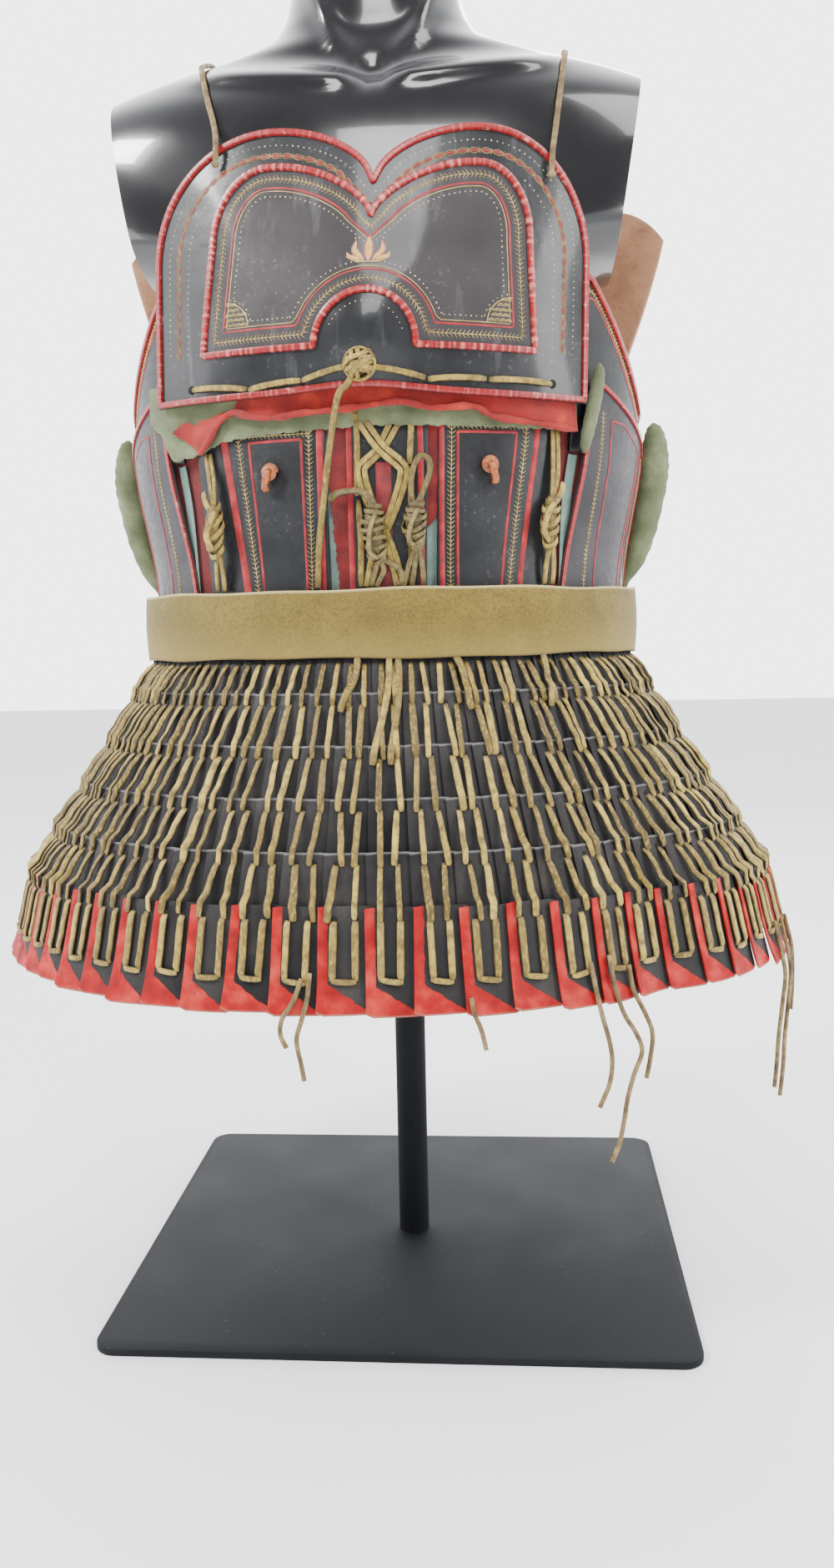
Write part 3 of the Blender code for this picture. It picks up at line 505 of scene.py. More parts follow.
def paint_finish(name, deep, plain, bright, low=0.35, high=0.6, wear=0.0):
    """Brushed paint: its colour pools and thins, and the creases stay dark."""
    r = Recipe(name)
    colour = r.ramp(r.noise(90, 6), (0.25, deep), (0.55, plain), (0.82, bright))
    if wear:
        colour = r.mix(r.ramp(r.noise(330, 5), (0.60, 0.0), (0.72, wear)), colour, (0.055, 0.042, 0.040))
    fine = r.noise(420, 4)
    return r.done(colour, r.ramp(fine, (0.3, low), (0.7, high)), r.bump(fine, 0.3, 0.0005))


def ribbed_red():
    """Red lacquer over a bound edge, with a painted highlight on each rib and painted shade between the ribs.
    """
    r = Recipe("ribbed_red", Coat_Weight=0.2, Coat_Roughness=0.2)
    # The rib tone paints shade between the ribs and a pale highlight on each rib's crest.
    rib = r.tone()
    colour = r.ramp(
        rib, (0.15, (0.035, 0.002, 0.004)), (0.50, (0.18, 0.004, 0.006)),
        (0.85, (0.31, 0.012, 0.013)), (1.0, (0.60, 0.16, 0.13)),
    )
    colour = r.mix(r.ramp(r.noise(180, 5), (0.62, 0.0), (0.76, 0.65)), colour, (0.78, 0.38, 0.32))
    colour = r.mix(r.ramp(r.noise(130, 5), (0.64, 0.0), (0.76, 0.8)), colour, (0.10, 0.035, 0.030))
    fine = r.noise(320, 4)
    return r.done(colour, r.ramp(fine, (0.3, 0.24), (0.7, 0.45)), r.bump(fine, 0.25, 0.0006))


def thong_finish(name, deep, plain, bright):
    """Tanned thong, each length of its own tone, with grain along it and random dark blotches; painted shade
    darkens its sides, its underside and both its ends.
    """
    r = Recipe(name)
    across, along = r.across_and_along()
    shade = r.tone()
    base = r.ramp(shade, (0.0, deep), (0.5, plain), (1.0, bright))
    grain = r.noise(520, 6, stretch=(1.0, 1.0, 0.35))
    blotch = r.noise(130, 6)
    colour = r.mix(r.ramp(blotch, (0.40, 0.0), (0.68, 0.85)), base, deep)
    colour = r.mix(r.ramp(grain, (0.50, 0.0), (0.72, 0.75)), colour, bright)
    colour = r.mix(r.ramp(r.noise(300, 5), (0.58, 0.0), (0.74, 0.6)), colour, (0.070, 0.055, 0.035))
    # Painted shade at both ends, where the thong goes into its holes.
    ends = r.ramp(along, (0.0, 0.85), (0.09, 0.0), (0.93, 0.0), (1.0, 0.6))
    # Painted shade on both sides and on the underside; the outer face stays clear.
    painted_flank_shade = r.ramp(across, (0.0, 0.85), (0.16, 0.0), (0.32, 0.0), (0.50, 0.85), (1.0, 0.95))
    colour = r.mix(r.sum("MAXIMUM", ends, painted_flank_shade), colour, (0.050, 0.033, 0.012))
    normal = r.bump(blotch, 0.5, 0.0016)
    normal = r.bump(grain, 0.7, 0.0009, normal)
    return r.done(colour, r.ramp(grain, (0.3, 0.42), (0.7, 0.75)), normal)


def free_thong_finish():
    """Limp old thong: brown, stringy, darker where it has been handled."""
    r = Recipe("free_thong")
    fibre = r.noise(420, 5, stretch=(1.0, 1.0, 0.2))
    blotch = r.noise(110, 5)
    shades = ((0.30, (0.070, 0.042, 0.016)), (0.50, (0.185, 0.120, 0.044)), (0.72, (0.340, 0.240, 0.100)))
    colour = r.mix(r.ramp(fibre, (0.50, 0.0), (0.70, 0.6)), r.ramp(blotch, *shades), (0.060, 0.040, 0.018))
    return r.done(colour, r.ramp(fibre, (0.3, 0.60), (0.7, 0.85)), r.bump(fibre, 0.6, 0.0008))


def suede_finish():
    """Olive suede: short nap that lies in patches, lighter along the lower edge."""
    r = Recipe("belt_suede", Sheen_Weight=0.12, Sheen_Roughness=0.5)
    across, along = r.across_and_along()
    nap = r.noise(1500, 4)
    lie = r.noise(28, 5, distortion=0.6)
    colour = r.ramp(
        lie, (0.28, (0.090, 0.060, 0.006)), (0.55, (0.140, 0.095, 0.012)),
        (0.80, (0.205, 0.144, 0.022)),
    )
    colour = r.mix(r.ramp(nap, (0.35, 0.0), (0.75, 0.55)), colour, (0.33, 0.240, 0.050))
    flecks = r.noise(460, 6)
    colour = r.mix(r.ramp(flecks, (0.46, 0.0), (0.70, 0.70)), colour, (0.085, 0.056, 0.009))
    colour = r.mix(r.ramp(along, (0.0, 0.45), (0.30, 0.20), (0.55, 0.0)), colour, (0.34, 0.250, 0.060))
    edge = r.ramp(along, (0.955, 0.0), (0.975, 0.85))
    colour = r.mix(edge, colour, (0.50, 0.40, 0.17))
    colour = r.mix(r.ramp(along, (0.0, 0.9), (0.035, 0.0)), colour, (0.100, 0.070, 0.022))
    normal = r.bump(lie, 0.25, 0.002)
    normal = r.bump(nap, 0.5, 0.0006, normal)
    return r.done(colour, r.ramp(nap, (0.3, 0.85), (0.7, 1.0)), normal)


def wool_finish(name, deep, plain, bright, threads):
    """Milled wool: a fine weave under a felted face."""
    r = Recipe(name, Roughness=0.95, Sheen_Weight=0.12, Sheen_Roughness=0.6)
    weave = r.sum("MULTIPLY", r.waves(threads, r.uv, "X", 1.0), r.waves(threads * 0.5, r.uv, "Y", 1.0))
    felt = r.noise(900, 4)
    patches = r.noise(45, 5)
    colour = r.ramp(patches, (0.28, deep), (0.55, plain), (0.80, bright))
    colour = r.mix(r.sum("MULTIPLY", weave, 0.35), colour, bright)
    colour = r.mix(r.ramp(felt, (0.35, 0.0), (0.80, 0.5)), colour, deep)
    normal = r.bump(weave, 0.35, 0.0006)
    normal = r.bump(felt, 0.6, 0.0006, normal)
    return r.done(colour, None, normal)


def bare_hide_finish():
    r = Recipe("bare_hide")
    cloud = r.noise(24, 6, distortion=0.4)
    pores = r.noise(420, 4)
    colour = r.ramp(
        cloud, (0.25, (0.22, 0.095, 0.045)), (0.55, (0.40, 0.19, 0.095)),
        (0.85, (0.56, 0.32, 0.18)),
    )
    colour = r.mix(r.ramp(pores, (0.55, 0.0), (0.8, 0.6)), colour, (0.11, 0.050, 0.026))
    normal = r.bump(r.noise(50, 5), 0.4, 0.002)
    return r.done(colour, r.ramp(pores, (0.3, 0.45), (0.7, 0.7)), r.bump(pores, 0.3, 0.0006, normal))


def form_finish():
    """Polished black, with faint wipe marks and dust."""
    r = Recipe("form_gloss", Coat_Weight=0.6, Coat_Roughness=0.05)
    cloud = r.noise(9, 4)
    dust = r.noise(500, 3)
    colour = r.ramp(cloud, (0.3, (0.006, 0.006, 0.007)), (0.7, (0.011, 0.011, 0.013)))
    colour = r.mix(r.ramp(dust, (0.68, 0.0), (0.80, 0.25)), colour, (0.12, 0.12, 0.13))
    return r.done(colour, r.ramp(cloud, (0.3, 0.16), (0.75, 0.27)), r.bump(r.noise(14, 2), 0.12, 0.003))


def steel_finish():
    r = Recipe("painted_steel", Specular_IOR_Level=0.12)
    grain = r.noise(900, 3)
    cloud = r.noise(12, 5)
    colour = r.ramp(cloud, (0.3, (0.009, 0.010, 0.012)), (0.7, (0.015, 0.016, 0.019)))
    colour = r.mix(r.ramp(r.noise(260, 4), (0.68, 0.0), (0.80, 0.4)), colour, (0.10, 0.10, 0.105))
    return r.done(colour, r.ramp(cloud, (0.3, 0.62), (0.7, 0.74)), r.bump(grain, 0.25, 0.0004))


def waxed_leather():
    r = Recipe("toggle_leather", Coat_Weight=0.2, Coat_Roughness=0.3)
    grain = r.noise(300, 5)
    colour = r.ramp(
        grain, (0.28, (0.110, 0.022, 0.005)), (0.52, (0.36, 0.085, 0.012)),
        (0.80, (0.58, 0.190, 0.038)),
    )
    return r.done(colour, r.ramp(grain, (0.3, 0.35), (0.7, 0.6)), r.bump(grain, 0.5, 0.0008))


def hole_shadow_finish():
    # Near-black discs at the lacing holes: painted shade in and round each hole.
    r = Recipe("shadowed_hole")
    grit = r.noise(800, 3)
    colour = r.ramp(grit, (0.3, (0.003, 0.003, 0.003)), (0.8, (0.014, 0.010, 0.008)))
    return r.done(colour, r.ramp(grit, (0.3, 0.8), (0.7, 1.0)))


def floor_finish():
    r = Recipe("pale_floor")
    mottle = r.noise(3, 4)
    colour = r.ramp(mottle, (0.3, (0.86, 0.865, 0.87)), (0.7, (0.89, 0.893, 0.897)))
    return r.done(colour, r.ramp(mottle, (0.3, 0.7), (0.7, 0.85)))


FINISHES = {
    "breast": breast_lacquer(),
    "plate": plate_lacquer("plate_lacquer", (0.006, 0.006, 0.007), (0.021, 0.022, 0.025)),
    "side": plate_lacquer("side_lacquer", (0.016, 0.014, 0.018), (0.052, 0.047, 0.053), 0.34, 0.52),
    "lamella": lamella_finish("lamella_lacquer", False),
    "hem_lamella": lamella_finish("hem_lamella_lacquer", True),
    "ribbed_red": ribbed_red(),
    "red_line": paint_finish(
        "red_line", (0.14, 0.005, 0.009), (0.34, 0.010, 0.014), (0.54, 0.045, 0.042), wear=0.8,
    ),
    "dull_red": paint_finish(
        "dull_red", (0.09, 0.008, 0.010), (0.22, 0.016, 0.020), (0.34, 0.040, 0.040), wear=0.9,
    ),
    "gold": paint_finish(
        "gold_paint", (0.26, 0.18, 0.045), (0.58, 0.42, 0.12), (0.80, 0.64, 0.26), wear=0.45,
    ),
    "faint_gold": paint_finish(
        "faint_gold", (0.12, 0.07, 0.018), (0.30, 0.19, 0.045), (0.52, 0.36, 0.12), wear=0.95,
    ),
    "ivory": paint_finish("ivory_dots", (0.34, 0.28, 0.14), (0.58, 0.50, 0.28), (0.75, 0.68, 0.44)),
    "amber": paint_finish(
        "lotus_amber", (0.50, 0.25, 0.05), (0.72, 0.42, 0.10), (0.85, 0.60, 0.22), wear=0.3,
    ),
    "plum": paint_finish("plum_line", (0.16, 0.05, 0.06), (0.30, 0.11, 0.12), (0.42, 0.20, 0.20)),
    "thong": thong_finish("hide_thong", (0.090, 0.055, 0.008), (0.255, 0.170, 0.026), (0.580, 0.420, 0.085)),
    "dark_thong": thong_finish(
        "dark_thong", (0.050, 0.033, 0.009), (0.145, 0.102, 0.026), (0.360, 0.270, 0.088),
    ),
    "suede": suede_finish(),
    "scarlet": wool_finish(
        "scarlet_wool", (0.13, 0.004, 0.005), (0.33, 0.008, 0.006), (0.66, 0.050, 0.016), 260,
    ),
    "sage": wool_finish(
        "sage_wool", (0.062, 0.078, 0.030), (0.140, 0.168, 0.075), (0.290, 0.320, 0.170), 260,
    ),
    "blue": wool_finish(
        "blue_grey_wool", (0.085, 0.140, 0.120), (0.175, 0.270, 0.235), (0.300, 0.400, 0.350), 160,
    ),
    "deep_scarlet": wool_finish(
        "deep_scarlet_wool", (0.06, 0.003, 0.004), (0.15, 0.005, 0.005), (0.32, 0.018, 0.010), 260,
    ),
    "hide": bare_hide_finish(),
    "form": form_finish(),
    "steel": steel_finish(),
    "free_thong": free_thong_finish(),
    "toggle": waxed_leather(),
    # Painted shade for the lacing holes.
    "hole": hole_shadow_finish(),
}

# Ways of making a piece


def new_mesh():
    bm = bmesh.new()
    bm.loops.layers.uv.new("UVMap")
    bm.verts.layers.float.new("tone")
    return bm


def set_tone(bm, verts, tone):
    layer = bm.verts.layers.float["tone"]
    for vert in verts:
        vert[layer] = tone(vert.co) if callable(tone) else tone


def patch(bm, across, along, place, tone=0.5):
    """A grid whose points are set by place(u, v), with u and v from 0 to 1."""
    made = bmesh.ops.create_grid(bm, x_segments=across, y_segments=along, size=0.5, calc_uvs=True)
    for vert in made["verts"]:
        u, v = vert.co.x + 0.5, vert.co.y + 0.5
        vert.co = place(u, v)
    set_tone(bm, made["verts"], tone)
    return made["verts"]


def keep(name, bm, finish, replaced=(), smooth=38):
    """Makes the mesh a piece of the object, in the place of the solids that it stands for."""
    mesh = bpy.data.meshes.new(name)
    bm.to_mesh(mesh)
    bm.free()
    mesh.shade_smooth()
    mesh.set_sharp_from_angle(angle=radians(smooth))
    for one in (finish,) if isinstance(finish, str) else finish:
        mesh.materials.append(FINISHES[one])
    made = bpy.data.objects.new(name, mesh)
    bpy.context.scene.collection.objects.link(made)
    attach(made, "root")
    if replaced:
        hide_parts(*((replaced,) if isinstance(replaced, str) else replaced))
    return made


def closed(name, bm, finish, replaced=(), smooth=38):
    """A solid piece: its seams are welded, its ends filled and its faces turned outwards."""
    bmesh.ops.remove_doubles(bm, verts=bm.verts, dist=1e-6)
    bmesh.ops.holes_fill(bm, edges=[e for e in bm.edges if e.is_boundary], sides=0)
    bmesh.ops.recalc_face_normals(bm, faces=bm.faces)
    return keep(name, bm, finish, replaced, smooth)


def walled(made, thick, bevel=0.0, inner=0, rim=0):
    """Gives an open face its thickness, inwards, and rounds its edges."""
    wall = made.modifiers.new("wall", "SOLIDIFY")
    wall.thickness = thick
    wall.offset = -1.0
    wall.use_even_offset = True
    wall.material_offset = inner
    wall.material_offset_rim = rim
    if bevel:
        edge = made.modifiers.new("edge", "BEVEL")
        edge.width = bevel
        edge.segments = 2
        edge.limit_method = "ANGLE"
        edge.angle_limit = radians(50)
        edge.harden_normals = False
    return made


Station = namedtuple("Station", "point ahead out")


def stations(points, outs, ring=False):
    """Points with the way ahead and the way out at each; the first and last match on a ring."""
    count = len(points)
    made = []
    for i in range(count):
        if ring:
            ahead = points[(i + 1) % count] - points[i - 1]
        else:
            ahead = points[min(i + 1, count - 1)] - points[max(i - 1, 0)]
        ahead.normalize()
        out = outs[i] - ahead * outs[i].dot(ahead)
        made.append(Station(points[i], ahead, out.normalized()))
    return made + [made[0]] if ring else made


def facing(place, a, b, steps):
    along = place(a + steps[0], b) - place(a - steps[0], b)
    up = place(a, b + steps[1]) - place(a, b - steps[1])
    return along.cross(up).normalized()


def track(place, path, pitch, out=0.0, steps=(0.0005, 0.0005), ring=False, flip=False):
    """Evenly spaced stations along a path of places on a face."""
    path = list(path) + [path[0]] if ring else list(path)
    reach = [0.0]
    for (a, b), (c, d) in zip(path, path[1:]):
        reach.append(reach[-1] + (place(c, d) - place(a, b)).length)
    count = max(2, round(reach[-1] / pitch))
    points, outs = [], []
    k = 0
    for i in range(count if ring else count + 1):
        goal = reach[-1] * i / count
        while k < len(path) - 2 and reach[k + 1] < goal:
            k += 1
        part = (goal - reach[k]) / max(1e-9, reach[k + 1] - reach[k])
        a = path[k][0] + (path[k + 1][0] - path[k][0]) * part
        b = path[k][1] + (path[k + 1][1] - path[k][1]) * part
        way = facing(place, a, b, steps)
        way = -way if flip else way
        points.append(place(a, b) + way * out)
        outs.append(way)
    return stations(points, outs, ring)


def smooth_route(points, steps):
    """A smooth curve through the points, with this many steps between each two."""
    points = [Vector(p) for p in points]
    ends = [2 * points[0] - points[1], *points, 2 * points[-1] - points[-2]]
    route = []
    for a, b, c, d in zip(ends, ends[1:], ends[2:], ends[3:]):
        for step in range(steps):
            t = step / steps
            second = (2 * a - 5 * b + 4 * c - d) * t**2
            third = (3 * b - a - 3 * c + d) * t**3
            route.append(0.5 * (2 * b + (c - a) * t + second + third))
    route.append(points[-1])
    return route


def strap(bm, line, width, thick, tone=0.5, sides=8, swell=None, square=0.58, rib_light_and_shade=None):
    """A strap, thong or painted stroke along a line of stations; swell widens or narrows it."""
    count = len(line) - 1
    layer = bm.verts.layers.float["tone"]

    def place(u, v):
        i = round(v * count)
        here = line[i]
        share = swell[i] if swell else 1.0
        side, face = cos(tau * u), sin(tau * u)
        side = (abs(side) ** square) * (1 if side > 0 else -1)
        face = (abs(face) ** square) * (1 if face > 0 else -1)
        across = here.ahead.cross(here.out)
        return here.point + across * (side * width / 2 * share) + here.out * (face * thick / 2 * share)

    made = bmesh.ops.create_grid(bm, x_segments=sides, y_segments=count, size=0.5, calc_uvs=True)
    for vert in made["verts"]:
        u, v = vert.co.x + 0.5, vert.co.y + 0.5
        vert.co = place(u, v)
        vert[layer] = rib_light_and_shade[round(v * count)] if rib_light_and_shade else tone


def rounded_ends(count, least=0.45, reach=2):
    """Shares that narrow a strap towards its two ends."""
    shares = []
    for i in range(count):
        near = min(i, count - 1 - i)
        shares.append(least + (1 - least) * min(1.0, near / reach) ** 0.5)
    return shares


def bead(bm, point, out, radius, height, tone=0.5, detail=1):
    """A small raised dot."""
    made = bmesh.ops.create_icosphere(bm, subdivisions=detail, radius=radius)
    turn = out.to_track_quat("Z", "Y").to_matrix().to_4x4()
    flat = Matrix.Diagonal((1.0, 1.0, height / radius, 1.0))
    bmesh.ops.transform(bm, matrix=Matrix.Translation(point) @ turn @ flat, verts=made["verts"])
    set_tone(bm, made["verts"], tone)


# Painted ornament: each takes a line of stations on a face


def painted_line(bm, line, width, lift=0.0007):
    strap(bm, line, width, lift, sides=6, square=0.8)


def herringbone(bm, line, reach, width=0.0007, every=1, spine=True):
    """A fine spine with slanting strokes to both sides."""
    if spine:
        strap(bm, line, width, 0.0006, sides=4, square=1.0)
    for i, here in enumerate(line[:-1]):
        if i % every:
            continue
        for side in (-1, 1):
            across = here.ahead.cross(here.out) * side
            start = here.point + here.ahead * vary(0.0002)
            end = start + (across * 0.85 + here.ahead * 0.62) * reach * chance.uniform(0.85, 1.15)
            stroke = stations([start, end], [here.out, here.out])
            strap(bm, stroke, width * 1.05, 0.0006, sides=4, square=1.0, swell=(1.0, 0.45))


def dotted(bm, line, radius, skip=None):
    for here in line[:-1]:
        if skip and skip(here.point):
            continue
        bead(bm, here.point, here.out, radius * chance.uniform(0.7, 1.2), 0.0004)


def chain(gold, red, line, link, width):
    """Two strands that cross between pointed links, each link filled with red."""
    step = (line[1].point - line[0].point).length
    per_link = max(4, round(link / step))
    for side in (-1, 1):
        points = []
        for i, here in enumerate(line):
            across = here.ahead.cross(here.out)
            turn = -1 if (i // per_link) % 2 else 1
            swing = sin(pi * (i % per_link) / per_link)
            points.append(here.point + across * (side * turn * swing * width / 2))
        strap(gold, stations(points, [s.out for s in line]), 0.0007, 0.0007, sides=4, square=1.0)
    for i in range(0, len(line) - per_link, per_link):
        here = line[i]
        across = here.ahead.cross(here.out)
        for way in (-1, 1):
            end = here.point + (across * way + here.ahead * 0.25) * width * 0.55
            strap(
                gold, stations([here.point, end], [here.out] * 2), 0.0007, 0.0006, sides=4,
                square=1.0, swell=(1, 0.5),
            )
        body = line[i + 1 : i + per_link]
        fill = [0.35 + 0.65 * sin(pi * (k + 1) / per_link) for k in range(len(body))]
        strap(red, body, width * 0.55, 0.0005, sides=6, square=1.0, swell=fill)


def ribbed(bm, line, width, thick, pitch, depth=1.0):
    """A bound edge: a rounded cord with uneven ribs across it, its tone painting a highlight on each rib and
    shade between.
    """
    step = (line[1].point - line[0].point).length
    swell, rib_light_and_shade = [], []
    phase, strength, length = 0.0, 1.0, pitch
    for _ in line:
        phase += step / length
        if phase > 1.0:
            phase -= 1.0
            strength, length = chance.uniform(0.15, 1.0), pitch * chance.uniform(0.6, 1.7)
        rib = sin(pi * phase) ** 0.6 * strength + (1 - strength) * 0.75
        swell.append(0.97 - 0.10 * depth + 0.12 * depth * rib + vary(0.015))
        # Tone per station: painted highlight on each rib's crest, painted shade between the ribs.
        rib_light_and_shade.append(min(1.0, 0.74 - 0.60 * depth + 0.90 * depth * rib + vary(0.08)))
    swell[-1], rib_light_and_shade[-1] = swell[0], rib_light_and_shade[0]
    strap(bm, line, width, thick, sides=8, swell=swell, rib_light_and_shade=rib_light_and_shade)


def clear_of(outline, spot, gap):
    """Whether a place is at least this far from a closed outline."""
    spot = Vector(spot)
    for a, b in zip(outline, outline[1:] + outline[:1]):
        start, along = Vector(a), Vector(b) - Vector(a)
        part = min(1.0, max(0.0, (spot - start).dot(along) / max(1e-12, along.length_squared)))
        if (spot - start - along * part).length < gap:
            return False
    return True


def inset(outline, gap):
    """A closed outline, listed anticlockwise, moved inwards by gap; a notch stays pointed."""
    count = len(outline)
    moved = []
    for i in range(count):
        before, here, after = (Vector(outline[k % count]) for k in (i - 1, i, i + 1))
        first, second = (here - before).normalized(), (after - here).normalized()
        way = Vector((-first.y - second.y, first.x + second.x)).normalized()
        if first.cross(second) < -0.35:
            moved.append(tuple(here + way * gap * 1.05))
            continue
        lean = max(0.45, way.dot(Vector((-first.y, first.x))))
        spot = tuple(here + way * (gap / lean))
        if clear_of(outline, spot, gap * 0.985):
            moved.append(spot)
    return moved


def both_sides(half):
    return half + [(-x, z) for x, z in reversed(half) if abs(x) > 1e-6]


def lobe_outline(half_width, lean, bottom, lobe, steps=26):
    """The right half of a lobed outline, from its lower corner up to the notch."""
    points = []
    for part in spread(0, 1, 6)[:-1]:
        points.append((half_width - lean * part, bottom + (lobe.z - bottom) * part))
    wide = half_width - lean - lobe.x
    for turn in spread(0, pi / 2, steps):
        points.append((lobe.x + wide * cos(turn), lobe.z + lobe.rise * sin(turn)))
    for part in spread(1, 0, steps)[1:]:
        x = lobe.x * part**1.3
        points.append((x, lobe_top(lobe, half_width - lean, x)))
    return points


def breast_outline():
    half = [(x, breast_bottom(x)) for x in spread(0, BREAST_HALF, 20)[:-1]]
    return both_sides(half + lobe_outline(BREAST_HALF, 0.0, BREAST_BOTTOM, BREAST_LOBE))


def panel_outline():
    half = []
    for turn in spread(pi / 2, 0, 16):
        half.append((ARCH_HALF * cos(turn), PANEL_BOTTOM + ARCH_RISE * sin(turn)))
    half += [(x, PANEL_BOTTOM) for x in spread(ARCH_HALF, PANEL_HALF, 10)[1:-1]]
    return both_sides(half + lobe_outline(PANEL_HALF, PANEL_LEAN, PANEL_BOTTOM, PANEL_LOBE))


def inside(outline, x, z):
    """Whether a place is within a closed outline."""
    found = False
    for (a, b), (c, d) in zip(outline, outline[1:] + outline[:1]):
        if (b > z) != (d > z) and x < a + (c - a) * (z - b) / (d - b):
            found = not found
    return found


# Stand


def make_stand():
    bm = new_mesh()
    bmesh.ops.create_cube(bm, size=1.0, calc_uvs=True)
    bmesh.ops.scale(bm, vec=(BASE_WIDTH, BASE_DEPTH, BASE_THICK), verts=bm.verts)
    bmesh.ops.translate(bm, vec=(STAND_X, 0, BASE_THICK / 2), verts=bm.verts)
    upright = [e for e in bm.edges if abs(e.verts[0].co.z - e.verts[1].co.z) > BASE_THICK / 2]
    bmesh.ops.bevel(
        bm, geom=upright, offset=BASE_CORNER, segments=10, profile=0.5, affect="EDGES", material=-1
    )
    level = [e for e in bm.edges if abs(e.verts[0].co.z - e.verts[1].co.z) < 1e-6 and len(e.link_faces) == 2]
    level = [e for e in level if abs(e.link_faces[0].normal.z - e.link_faces[1].normal.z) > 0.5]
    bmesh.ops.bevel(bm, geom=level, offset=0.0007, segments=2, profile=0.5, affect="EDGES", material=-1)
    keep("base_sheet", bm, "steel", "base_plate")
    bm = new_mesh()
    low, high = BASE_THICK, FORM_BOTTOM
    bmesh.ops.create_cone(
        bm, cap_ends=True, segments=56, radius1=POST_RADIUS, radius2=POST_RADIUS, depth=high - low,
        calc_uvs=True,
    )
    bmesh.ops.translate(bm, vec=(STAND_X, 0, (low + high) / 2), verts=bm.verts)
    keep("stand_post", bm, "steel", "post")


def collarbone(x, z):
    """How far the front of the form stands out at the collarbones and dips at the pit of the neck."""
    away = abs(x - 0.004)
    ridge = 0.994 + 0.13 * max(0.0, away - 0.02) - 0.6 * max(0.0, away - 0.10) ** 2
    reach = eased(0.012, 0.030, away) * (1 - eased(0.115, 0.165, away))
    bone = 0.0060 * exp(-(((z - ridge) / 0.0085) ** 2)) * reach
    hollow = 0.0035 * exp(-(((z - ridge - 0.020) / 0.012) ** 2)) * reach
    pit = 0.0110 * exp(-((away / 0.013) ** 2) - ((z - 1.004) / 0.014) ** 2)
    neck = 0.0050 * exp(-(((away - 0.022 - 0.42 * max(0.0, z - 1.01)) / 0.008) ** 2)) * eased(1.0, 1.03, z)
    return bone - hollow - pit + neck


def make_form():
    rings = smooth_route([Vector(row) for row in FORM_SECTIONS], 8)
    count = len(rings) - 1
    around = 144
    bm = new_mesh()

    def place(u, v):
        z, half, front, back = rings[round(v * count)]
        turn = tau * u
        depth = front if cos(turn) > 0 else back
        x, y = half * sin(turn), -depth * cos(turn)
        if y < 0:
            y -= collarbone(x, z) * min(1.0, -y / 0.03)
            breast = exp(-(((abs(x) - 0.075) / 0.05) ** 2) - ((z - 0.87) / 0.045) ** 2)
            y -= 0.004 * breast
        else:
            spine = exp(-((x / 0.020) ** 2)) * eased(0.45, 0.60, z) * (1 - eased(0.98, 1.05, z))
            blade = exp(-(((abs(x) - 0.090) / 0.045) ** 2) - ((z - 0.90) / 0.05) ** 2)
            y += 0.003 * blade - 0.004 * spine
        return Vector((x, y, z))

    patch(bm, around, count, place)
    bmesh.ops.remove_doubles(bm, verts=bm.verts, dist=1e-6)
    bmesh.ops.holes_fill(bm, edges=[e for e in bm.edges if e.is_boundary], sides=0)
    tilt = radians(STUB_TILT)
    for side in (-1, 1):
        bmesh.ops.bisect_plane(
            bm,
            geom=bm.verts[:] + bm.edges[:] + bm.faces[:],
            plane_co=(side * STUB_X, 0, STUB_Z),
            plane_no=(side * cos(tilt), 0, -sin(tilt)),
            clear_outer=True,
        )
        bmesh.ops.holes_fill(bm, edges=[e for e in bm.edges if e.is_boundary], sides=0)
    bmesh.ops.recalc_face_normals(bm, faces=bm.faces)
    made = keep("display_form", bm, "form", "torso_form", smooth=50)
    edge = made.modifiers.new("edge", "BEVEL")
    edge.width = 0.0022
    edge.segments = 3
    edge.limit_method = "ANGLE"
    edge.angle_limit = radians(55)


# Breast plate


